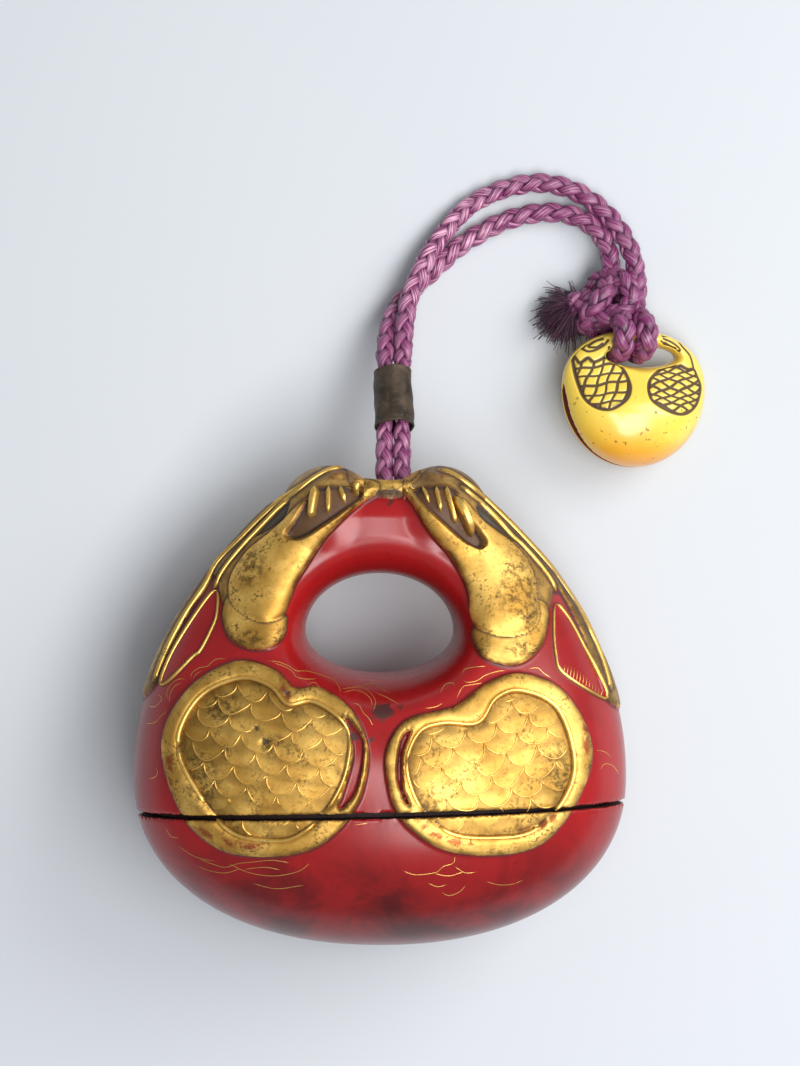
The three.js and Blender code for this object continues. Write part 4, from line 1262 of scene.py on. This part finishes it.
def tuft_form(seed, count):
    """The frayed end: fine threads that fan out from the stub and settle on the floor."""
    random = np.random.default_rng(seed)
    bundle = YarnBundle(sides=4)
    share = np.linspace(0, 1, 8)[:, None]
    for _ in range(count):
        spin = random.normal(0.25, 0.62)
        heading = np.array([-math.cos(spin), -math.sin(spin), random.normal(0.05, 0.28)])
        reach = random.uniform(2.4, 4.7) * (1 - 0.12 * abs(spin))
        offset = random.normal(0, 0.5, 3)
        curl = np.array([random.normal(0, 0.6), random.normal(0, 0.6), random.normal(0, 0.4)])
        path = np.array(TUFT_ROOT) + offset * (1 + 0.6 * share) + heading * reach * share + curl * share ** 2
        path = path + np.array([0.2, -1.3, -1.5]) * share ** 2
        path[:, 2] = np.maximum(path[:, 2], 0.2 + 0.4 * random.random() * share[:, 0])
        across, over = path_frames(path)
        thin = random.uniform(0.06, 0.1) * (1.15 - 0.6 * share[:, 0])
        bundle.add(path, across, over, thin, thin, random.uniform(0, 9))
    return bundle.piece("cord_frayed_end")


# Shader maths

class Wire:
    """A node's output, which sums and products can be written with."""

    def __init__(self, recipe, socket):
        self.recipe = recipe
        self.socket = socket

    def math(self, operation, *values):
        return self.recipe.node("Math", dict(enumerate(values)), operation=operation)

    def __add__(self, other):
        return self.math("ADD", self, other)

    def __mul__(self, other):
        return self.math("MULTIPLY", self, other)

    def __sub__(self, other):
        return self.math("SUBTRACT", self, other)

    def __rsub__(self, other):
        return self.math("SUBTRACT", other, self)

    __radd__ = __add__
    __rmul__ = __mul__

    def most(self, other):
        return self.math("MAXIMUM", self, other)

    def clear(self, low, high):
        """0 up to low, 1 from high, and smooth between."""
        return self.recipe.node(
            "MapRange", {"Value": self, "From Min": low, "From Max": high}, interpolation_type="SMOOTHSTEP")


class Recipe:
    """One procedural material."""

    def __init__(self, name):
        self.material = bpy.data.materials.new(name)
        self.material.use_nodes = True
        self.tree = self.material.node_tree
        self.shader = self.tree.nodes["Principled BSDF"]

    def node(self, kind, inputs=None, output=0, **settings):
        """A new node with its settings and inputs, as the wire of one output."""
        node = self.tree.nodes.new("ShaderNode" + kind)
        for name, value in settings.items():
            setattr(node, name, value)
        for name, value in (inputs or {}).items():
            self.plug(node.inputs[name], value)
        return Wire(self, node.outputs[output])

    def plug(self, socket, value):
        if isinstance(value, Wire):
            self.tree.links.new(value.socket, socket)
        elif socket.type == "RGBA":
            socket.default_value = (*value[:3], 1)
        else:
            socket.default_value = value

    def mix(self, factor, first, second):
        node = self.tree.nodes.new("ShaderNodeMix")
        node.data_type = "RGBA"
        for index, value in ((0, factor), (6, first), (7, second)):
            self.plug(node.inputs[index], value)
        return Wire(self, node.outputs[2])

    def layers(self, colour, *layers):
        """A colour with layers over it, each with its cover and its own colour."""
        for cover, tone in layers:
            colour = self.mix(cover, colour, tone)
        return colour

    def place(self, axis=None):
        """Place in the piece's own frame, or one of its axes."""
        if axis:
            return self.node("SeparateXYZ", {"Vector": self.place()}, output=axis)
        return self.node("TexCoord", output="Object")

    def field(self, name):
        """A value that the piece's points carry."""
        return self.node("Attribute", output="Fac", attribute_name=name)

    def noise(self, scale, detail=3.0, roughness=0.55, where=None, distortion=0.0):
        return self.node("TexNoise", {
            "Vector": where or self.place(), "Scale": scale, "Detail": detail, "Roughness": roughness,
            "Distortion": distortion})

    def bump(self, height, strength, distance):
        inputs = {"Height": height, "Strength": strength, "Distance": distance}
        return self.node("Bump", inputs, output="Normal")

    def finish(self, **sockets):
        """Plug the shader's own sockets and hand over the material."""
        for name, value in sockets.items():
            self.plug(self.shader.inputs[name.replace("_", " ")], value)
        return self.material


def gold_colour(recipe, looks):
    """Gold powder, bright in clouds and brown in specks, with its grain."""
    cloud = recipe.noise(170, 4).clear(0.35, 0.68)
    grain = recipe.noise(1500, 2, 0.7)
    patch = recipe.noise(330, 3, 0.6)
    specks = recipe.noise(2300, 2, 0.6).clear(0.5, 0.62) * patch.clear(0.46, 0.66)
    colour = recipe.layers(
        recipe.mix(cloud, looks.gold_dull, looks.gold_bright),
        (grain.clear(0.56, 0.72) * 0.3, looks.gold_brown), (specks * 0.75, looks.gold_brown))
    return colour, grain


def red_lacquer(recipe, looks):
    """Red lacquer, mottled and darker towards the lower end of the belly."""
    belly = recipe.place("Y").clear(-0.012, -0.03)
    mottle = recipe.noise(95, 5, 0.62, distortion=0.6).clear(0.34, 0.66)
    flecks = recipe.noise(1900, 2).clear(0.66, 0.74)
    return recipe.layers(
        looks.lacquer_red, (mottle * (0.25 + belly * 0.35) + belly * 0.45, looks.lacquer_dark),
        (flecks * 0.35, looks.lacquer_dark))


def worn_gold(recipe, looks, gold, field, skin_here):
    """The gold of the carving, rubbed on its heights, soiled and darkened with painted shade in its hollows,
    along its edges and under its scales, with its grain.
    """
    paint, grain = gold_colour(recipe, looks)
    dusk = field.clear(-0.2, 0.2) * recipe.noise(240, 3).clear(0.4, 0.6)
    high = recipe.field("tall").clear(0.5, 0.9) * (1 - field.clear(-0.4, 0))
    rubbed = recipe.noise(420, 4, 0.65).clear(0.63, 0.72) * high
    worn = recipe.field("worn") * recipe.noise(800, 3, 0.6).clear(0.42, 0.55)
    soil = recipe.field("soil").clear(-0.1, 0.6) * recipe.noise(1100, 4, 0.7).clear(0.42, 0.6)
    # Painted shade just below the lower edge of each overlapping scale.
    under_scale_shade = 1 - recipe.field("scale").clear(0.05, 0.5)
    old = recipe.noise(380, 4, 0.6).clear(0.34, 0.6)
    # Painted shade and dirt near the edges of the gold.
    gold_edge_soil_and_shade = (1 - gold.clear(0.05, 1)) * recipe.noise(520, 3).clear(0.3, 0.6)
    # Painted shade and dirt along the foot of the rim, inside each sunk field.
    field_edge = field.clear(-0.05, 0.1) * (1 - field.clear(0.1, 2.4))
    field_soil_and_shade = field_edge * recipe.noise(300, 3).clear(0.2, 0.75)
    paint = recipe.layers(
        paint, (dusk * 0.35, looks.gold_dull), (rubbed * 0.8, looks.worn_orange),
        (worn * 0.85, looks.worn_orange), (soil * 0.7, looks.gold_brown),
        (under_scale_shade * 0.32, looks.gold_brown), (skin_here * (0.4 + old * 0.45), looks.skin),
        (gold_edge_soil_and_shade * 0.7, looks.gold_brown), (field_soil_and_shade * 0.7, looks.gold_brown))
    return paint, grain


def case_material(looks):
    recipe = Recipe("lacquer and gold")
    gold, field, pocket, slate, skin = (
        recipe.field(name) for name in ("gold", "field", "pocket", "slate", "skin"))
    ragged = recipe.noise(900, 3) * 0.3 - 0.15
    skin_here = skin.clear(0, 0.5)
    gold_here = (gold + ragged * 0.5).clear(-0.06, 0.06)
    pocket_here = (pocket + ragged * 0.4).clear(-0.1, 0.12)
    slate_here = (slate + ragged).clear(-0.25, 0.25)
    lip = pocket.clear(-0.4, -0.15) * (1 - pocket.clear(0, 0.15))
    # Painted shade and dirt along the foot of the carving and inside the edges of its hollows.
    dirt_and_shade = (1 - recipe.field("crease").clear(0.05, 0.55)) * 0.88
    soot, blot = recipe.noise(430, 4, 0.65), recipe.noise(1500, 3, 0.6)
    stain = (recipe.field("spot") + (soot - 0.5) * 2.8 + (blot - 0.5) * 1.6).clear(-0.1, 0.5)
    # Real stains, and painted shade inside the cord bore.
    dark = stain.most(recipe.field("bore"))
    # Black lacquer of the hollow and the riser, which also stands as painted shade in the seam's gap.
    inside = recipe.field("inside").clear(0.02, 0.15)
    paint, grain = worn_gold(recipe, looks, gold, field, skin_here)
    colour = recipe.layers(
        red_lacquer(recipe, looks), (gold_here, paint), (slate_here * 0.9, looks.slate),
        (lip * 0.6, looks.lacquer_dark), (pocket_here * 0.93, looks.pocket), (dirt_and_shade, looks.crease),
        (dark * 0.9, looks.crease), (inside, looks.inside_black))
    metal = (1 - skin_here * 0.3) * gold_here * (1 - pocket_here) * (1 - slate_here)
    metal = metal * (1 - dirt_and_shade * 0.7) * (1 - dark) * (1 - inside)
    dull = pocket_here.most(slate_here)
    rough = 0.25 + metal * 0.2 + grain * metal * 0.16 + dirt_and_shade * 0.25 + dark * 0.3 + dull * 0.35 + inside * 0.4
    height = grain * metal * 0.6 + gold_here * 0.5
    return recipe.finish(
        Base_Color=colour, Metallic=metal * 0.8, Roughness=rough, Normal=recipe.bump(height, 0.25, 0.00008))


def line_material(looks):
    recipe = Recipe("gold lines")
    colour, grain = gold_colour(recipe, looks)
    colour = recipe.mix(0.35, colour, looks.gold_light)
    return recipe.finish(
        Base_Color=colour, Metallic=0.8, Roughness=0.32 + grain * 0.12,
        Normal=recipe.bump(grain, 0.2, 0.00005))


def toggle_material(looks):
    recipe = Recipe("stained ivory")
    line, dirt_and_shade, slit, low = (recipe.field(name) for name in ("line", "dirt_and_shade", "slit", "low"))
    grain = recipe.noise(140, 4, 0.6)
    deep = (low + grain * 0.5 - 0.25).clear(0.35, 1.05)
    pits = recipe.noise(1150, 2, 0.5).clear(0.67, 0.72) * low.clear(0.0, 0.35)
    soil = (dirt_and_shade * recipe.noise(500, 3).clear(0.3, 0.55)).clear(0.2, 0.6)
    ink = 1 - line.clear(0.12, 0.24)
    # Painted shade: the inside of the slit is coloured dark red and kept matte.
    slit = slit.clear(0.004, 0.03)
    colour = recipe.layers(
        looks.ivory, (deep, looks.ivory_deep), (grain.clear(0.3, 0.42) * -0.25 + 0.25, looks.ivory_light),
        (pits * 0.75, looks.engraving), (soil * 0.75, looks.engraving), (ink * 0.95, looks.engraving),
        (slit, looks.slit))
    return recipe.finish(
        Base_Color=colour, Roughness=0.3 + ink * 0.3 + slit * 0.4 + grain * 0.06, Subsurface_Weight=0.12,
        Subsurface_Radius=(0.004, 0.002, 0.0008), Coat_Weight=(1 - ink) * (1 - slit) * 0.6,
        Coat_Roughness=0.16, Normal=recipe.bump(1 - pits, 0.3, 0.0001))


def bead_material(looks):
    recipe = Recipe("dark bronze")
    cloud = recipe.noise(420, 5, 0.65)
    scuff = recipe.noise(1300, 3, 0.6)
    colour = recipe.layers(
        looks.bronze_dark, (cloud.clear(0.35, 0.65), looks.bronze),
        (scuff.clear(0.55, 0.7) * 0.5, looks.bronze_light))
    return recipe.finish(
        Base_Color=colour, Metallic=0.55, Roughness=0.4 + scuff * 0.25,
        Normal=recipe.bump(cloud + scuff * 0.5, 0.35, 0.00015))


def silk_material(looks, name, fading):
    """Silk with fibres along its yarns, lighter all over where its fading is nearer 1, with painted shade in
    the grooves of the braid and a painted highlight along the crowns of its yarns.
    """
    recipe = Recipe(name)
    along = recipe.node("UVMap", uv_map="fibre")
    stretched = recipe.node("Mapping", {"Vector": along, "Scale": (1.1, 10, 1)})
    fibres = recipe.noise(1.0, 3, 0.6, where=stretched)
    fine = recipe.noise(1.9, 2, 0.6, where=stretched)
    crown = recipe.field("crown")
    # Painted shade: where a yarn dips under the others it takes the dark silk.
    out_of_groove = (fibres * 0.9 + crown * 0.75).clear(0.94 - 0.4 * fading, 1.44 - 0.4 * fading)
    by_the_bend = recipe.place("Y").clear(0.049, 0.057) * (1 - recipe.place("X").clear(0.012, 0.026))
    bleached = by_the_bend * 0.65 + 0.35
    # Painted highlight along the crown of each yarn and in fine streaks along its fibres, laid on with the
    # real fading.
    shine = crown.clear(0.45, 1) * 0.9 + 0.1
    faded = recipe.noise(75, 3, 0.6).clear(0.3, 0.6) * 0.5 + 0.5
    colour = recipe.layers(
        looks.silk_dark, (out_of_groove, looks.silk),
        (faded * fine.clear(0.44, 0.6) * shine * bleached * fading, looks.silk_light))
    return recipe.finish(
        Base_Color=colour, Roughness=0.24 + fibres * 0.24, Specular_IOR_Level=0.8, Sheen_Weight=0.05,
        Sheen_Roughness=0.4, Sheen_Tint=looks.silk_light,
        Normal=recipe.bump(fibres + fine * 0.6, 0.9, 0.0002))


def floor_material(looks):
    recipe = Recipe("pale floor")
    tone = recipe.noise(9, 3)
    grain = recipe.noise(900, 2)
    colour = recipe.mix(tone.clear(0.3, 0.7) * 0.5 + grain * 0.1, looks.floor, looks.floor_shade)
    return recipe.finish(Base_Color=colour, Roughness=0.72, Normal=recipe.bump(grain, 0.05, 0.0002))


# Settings

def colour_setting(name, description, default):
    return FloatVectorProperty(
        name=name, description=description, default=default, subtype="COLOR", min=0, max=1)


def length_setting(name, description, default):
    return FloatProperty(name=name, description=description, default=default, unit="LENGTH", min=0)


def power_setting(name, description, default):
    return FloatProperty(name=name, description=description, default=default, unit="POWER", min=0)


def count_setting(name, description, default, least=20):
    return IntProperty(name=name, description=description, default=default, min=least)


class InroCaseSettings(bpy.types.PropertyGroup):
    sections: count_setting("Sections", "Sections round the hole", 548, least=60)
    front_rings: count_setting("Front rings", "Points of a section on the front", 146)
    back_rings: count_setting("Back rings", "Points of a section on the back", 54)
    relief: FloatProperty(
        name="Relief", description="Height of the carving, as a share of the real one", default=1.0, min=0,
        max=1.2, subtype="FACTOR")
    line_width: length_setting("Line width", "Width of the gold cloud lines", 0.00026)
    lacquer_red: colour_setting("Lacquer", "Red lacquer where it is bright", (0.33, 0.009, 0.01))
    lacquer_dark: colour_setting("Dark lacquer", "Red lacquer where it is dark", (0.065, 0.004, 0.004))
    # Inside: black lacquer, also painted shade in the seam's gap.
    inside_black: colour_setting("Inside", "Lacquer of the hollow and the riser", (0.03, 0.008, 0.006))
    gold_bright: colour_setting("Gold", "Gold powder where it is whole", (0.95, 0.6, 0.15))
    gold_light: colour_setting("Light gold", "Gold of the drawn lines", (1.0, 0.68, 0.2))
    gold_dull: colour_setting("Dull gold", "Gold powder where it is rubbed", (0.55, 0.3, 0.055))
    # Brown of the specks and dirt in the gold, also of the painted shade under the scales and along the
    # gold's edges.
    gold_brown: colour_setting("Brown specks", "Specks of dirt in the gold", (0.06, 0.03, 0.01))
    worn_orange: colour_setting("Worn gold", "Ground that shows where the gold is worn", (0.3, 0.05, 0.02))
    slate: colour_setting("Slate", "Dark patch beside each head", (0.045, 0.048, 0.042))
    pocket: colour_setting("Gill", "Dark ground behind the fingers of the gills", (0.055, 0.018, 0.013))
    skin: colour_setting("Skin", "Dull gold along the outline of the heads", (0.2, 0.11, 0.035))
    # Creases: painted shade and dirt along the foot of the carving, also painted shade in the cord bore and
    # the colour of the stains.
    crease: colour_setting("Creases", "Dirt along the foot of the carving", (0.03, 0.012, 0.009))


class InroToggleSettings(bpy.types.PropertyGroup):
    sections: count_setting("Sections", "Sections round the hole", 440, least=60)
    front_rings: count_setting("Front rings", "Points of a section on the front", 150)
    back_rings: count_setting("Back rings", "Points of a section on the back", 50)
    ivory: colour_setting("Ivory", "Stained ivory", (0.86, 0.61, 0.08))
    ivory_light: colour_setting("Light ivory", "Stained ivory where it is pale", (0.92, 0.77, 0.16))
    ivory_deep: colour_setting("Deep ivory", "Stain towards the lower edge", (0.82, 0.36, 0.02))
    engraving: colour_setting("Engraving", "Dirt in the engraved lines", (0.05, 0.022, 0.012))
    # Slit: painted shade inside the slit.
    slit: colour_setting("Slit", "Inside of the slit", (0.13, 0.018, 0.012))


class InroCordSettings(bpy.types.PropertyGroup):
    strand: length_setting("Strand", "Diameter of each braided strand", 0.003)
    pitch: length_setting("Pitch", "Length of one turn of a yarn in the braid", 0.0115)
    threads: count_setting("Threads", "Threads of the frayed end", 1100)
    silk: colour_setting("Silk", "Purple silk", (0.19, 0.019, 0.115))
    # Dark silk: painted shade in the grooves of the braid.
    silk_dark: colour_setting("Dark silk", "Silk in the grooves", (0.035, 0.004, 0.024))
    # Faded silk: the real fading, also the colour of the painted highlight along the crowns of the yarns.
    silk_light: colour_setting("Faded silk", "Silk where it is faded and shiny", (0.92, 0.48, 0.64))
    bronze: colour_setting("Bronze", "Patina of the bead", (0.1, 0.069, 0.046))
    bronze_dark: colour_setting("Dark bronze", "Patina where it is darkest", (0.04, 0.03, 0.021))
    bronze_light: colour_setting("Rubbed bronze", "Bead where it is rubbed", (0.15, 0.11, 0.07))


class InroStageSettings(bpy.types.PropertyGroup):
    distance: length_setting("Camera height", "Height of the camera over the floor", 0.5166)
    floor: colour_setting("Floor", "Pale floor", (0.57, 0.595, 0.625))
    floor_shade: colour_setting("Floor shade", "Slightly darker floor", (0.545, 0.57, 0.605))
    key_power: power_setting("Key light", "Power of the soft light at the upper right", 2.4)
    fill_power: power_setting("Fill light", "Power of the soft box over the near side", 2.25)
    strip_power: power_setting("Strip light", "Power of the narrow light overhead", 0.6)
    sky: FloatProperty(
        name="Surroundings", description="Strength of the even light all round", default=0.26, min=0)


# Operators

class INRO_OT_stage(bpy.types.Operator):
    """Add the floor, the lights and the camera"""
    bl_idname = "inro.stage"
    bl_label = "Stage"

    def area_light(self, name, place, target, size, colour, power):
        lamp = bpy.data.lights.new(name, "AREA")
        lamp.shape = "ELLIPSE"
        lamp.size, lamp.size_y = size
        lamp.energy = power
        lamp.color = colour
        holder = bpy.data.objects.new(name, lamp)
        holder.location = place
        holder.rotation_euler = (Vector(target) - Vector(place)).to_track_quat("-Z", "Y").to_euler()
        bpy.context.scene.collection.objects.link(holder)

    def execute(self, context):
        settings = context.scene.inro_stage
        deselect_all()
        bpy.ops.mesh.primitive_plane_add(size=FLOOR_SIZE)
        floor = name_piece("floor")
        floor.data.materials.append(floor_material(settings))
        lens = bpy.data.cameras.new("camera")
        lens.lens = FOCAL_PIXELS * SENSOR / FRAME_PIXELS
        lens.sensor_width = SENSOR
        lens.sensor_fit = "AUTO"
        lens.clip_start = 0.01
        camera = bpy.data.objects.new("camera", lens)
        camera.location = (CAMERA_X, CAMERA_Y, settings.distance)
        context.scene.collection.objects.link(camera)
        context.scene.camera = camera
        powers = (settings.key_power, settings.fill_power, settings.strip_power)
        for light, power in zip(LIGHTS, powers):
            self.area_light(*light, power)
        world = bpy.data.worlds.new("soft room")
        world.use_nodes = True
        ground = world.node_tree.nodes["Background"]
        ground.inputs["Color"].default_value = SKY_COLOUR
        ground.inputs["Strength"].default_value = settings.sky
        context.scene.world = world
        context.scene.view_settings.view_transform = "Standard"
        return {"FINISHED"}


class INRO_OT_cord(bpy.types.Operator):
    """Braid the two strands and tie the knot with its frayed end"""
    bl_idname = "inro.cord"
    bl_label = "Cord"

    def execute(self, context):
        settings = context.scene.inro_cord
        silk = silk_material(settings, "braided silk", STRAND_FADING)
        unfaded = silk_material(settings, "unfaded silk", KNOT_FADING)
        radius, pitch = settings.strand / MM / 2, settings.pitch / MM
        knot = finish_piece(knot_form(), unfaded, "silk", "cord_knot")
        tuft = finish_piece(tuft_form(7, settings.threads), unfaded, "silk")
        for name, route, seed, node in (
                ("cord_strand_outer_braid", OUTER_ROUTE, 0.3, "cord_strand_outer"),
                ("cord_strand_inner_braid", INNER_ROUTE, 1.9, "cord_strand_inner")):
            strand, path = strand_piece(name, route, seed, radius, pitch)
            finish_piece(strand, silk, "silk", node)
        return {"FINISHED"}


class INRO_OT_case(bpy.types.Operator):
    """Carve the case, cut it at the seam and hollow out the lid and the bowl"""
    bl_idname = "inro.case"
    bl_label = "Case"

    def execute(self, context):
        material = case_material(context.scene.inro_case)
        form = case_form()
        lid = cut_at_seam(form, "case_lid", 1)
        bowl = cut_at_seam(form, "case_bowl", -1)
        bpy.data.objects.remove(form)
        hollow_out(lid, [(SEAM_HALF_GAP, 0, 1), (SOCKET_DEPTH, 0, 1), *dome_rings(SOCKET_DEPTH, LID_DOME, 0)])
        riser, inner, edge = FIT_GAP, FIT_GAP + RISER_WALL, RISER_HEIGHT - RISER_BEVEL
        hollow_out(bowl, [
            (-SEAM_HALF_GAP, riser, 1), (edge, riser, 1), (RISER_HEIGHT, riser + RISER_BEVEL, 1),
            (RISER_HEIGHT, inner - RISER_BEVEL, 1), (edge, inner, 1), (0, inner, 1),
            *dome_rings(0, -BOWL_REACH, inner)])
        for piece, node in ((lid, "lid"), (bowl, "bowl")):
            if len(piece.data.vertices) < 1000:
                raise RuntimeError("{} came out empty".format(piece.name))
            finish_piece(piece, material, "lacquer", node, smooth=False)
            pick(piece)
            bpy.ops.object.shade_smooth_by_angle(angle=math.radians(55))
            deselect_all()
        return {"FINISHED"}


class INRO_OT_lines(bpy.types.Operator):
    """Draw the gold clouds, scales and strokes on the front"""
    bl_idname = "inro.lines"
    bl_label = "Gold lines"

    def execute(self, context):
        settings = context.scene.inro_case
        material = line_material(settings)
        half = settings.line_width / MM / 2
        lines = [(line, half, CLOUD_RISE) for line in CLOUDS]
        lines += [(arc, *SCALE_LINE) for side in range(2) for arc in scale_arcs(side)]
        lines += [(stroke, *HATCH_LINE) for stroke in hatch_lines()]
        lines += [(line, *SKIN_LINE) for line in SKIN_LINES]
        lines += [(closed_line(outline), *FIN_LINE) for outline in FINS]
        lines += [(closed_line(outline), *FIELD_LINE) for outline in FIELDS]
        lines += [([root, tip], wide * 1.15, FINGER_RISE) for side in FINGERS for root, tip, wide in side]
        for name, above in (("lid_gold_lines", True), ("bowl_gold_lines", False)):
            finish_piece(ribbon_piece(name, lines, above), material, "lacquer")
        return {"FINISHED"}


class INRO_OT_toggle(bpy.types.Operator):
    """Carve and engrave the toggle"""
    bl_idname = "inro.toggle"
    bl_label = "Toggle"

    def execute(self, context):
        finish_piece(toggle_form(), toggle_material(context.scene.inro_toggle), "ivory", "netsuke")
        return {"FINISHED"}


class INRO_OT_bead(bpy.types.Operator):
    """Roll the bead on the cord"""
    bl_idname = "inro.bead"
    bl_label = "Bead"

    def execute(self, context):
        finish_piece(bead_form(), bead_material(context.scene.inro_cord), "bronze", "ojime_bead")
        return {"FINISHED"}


class INRO_PT_panel(bpy.types.Panel):
    """Buttons that build the inro piece by piece"""
    bl_idname = "INRO_PT_panel"
    bl_label = "Fish gong inro"
    bl_space_type = "VIEW_3D"
    bl_region_type = "UI"
    bl_category = "Inro"

    def draw(self, context):
        for operator in OPERATORS:
            self.layout.operator(operator.bl_idname)
        for group, settings in SETTINGS.items():
            box = self.layout.box()
            for name in settings.__annotations__:
                box.prop(getattr(context.scene, group), name)


OPERATORS = (INRO_OT_stage, INRO_OT_cord, INRO_OT_case, INRO_OT_lines, INRO_OT_toggle, INRO_OT_bead)
SETTINGS = {
    "inro_stage": InroStageSettings,
    "inro_cord": InroCordSettings,
    "inro_case": InroCaseSettings,
    "inro_toggle": InroToggleSettings,
}


def register():
    for item in (*SETTINGS.values(), *OPERATORS, INRO_PT_panel):
        bpy.utils.register_class(item)
    for group, settings in SETTINGS.items():
        setattr(bpy.types.Scene, group, PointerProperty(type=settings))


def unregister():
    for group in SETTINGS:
        delattr(bpy.types.Scene, group)
    for item in (INRO_PT_panel, *reversed(OPERATORS), *reversed(SETTINGS.values())):
        bpy.utils.unregister_class(item)


def main():
    register()
    bpy.ops.inro.stage()
    bpy.ops.inro.cord()
    bpy.ops.inro.case()
    bpy.ops.inro.lines()
    bpy.ops.inro.toggle()
    bpy.ops.inro.bead()


if __name__ == "__main__":
    main()
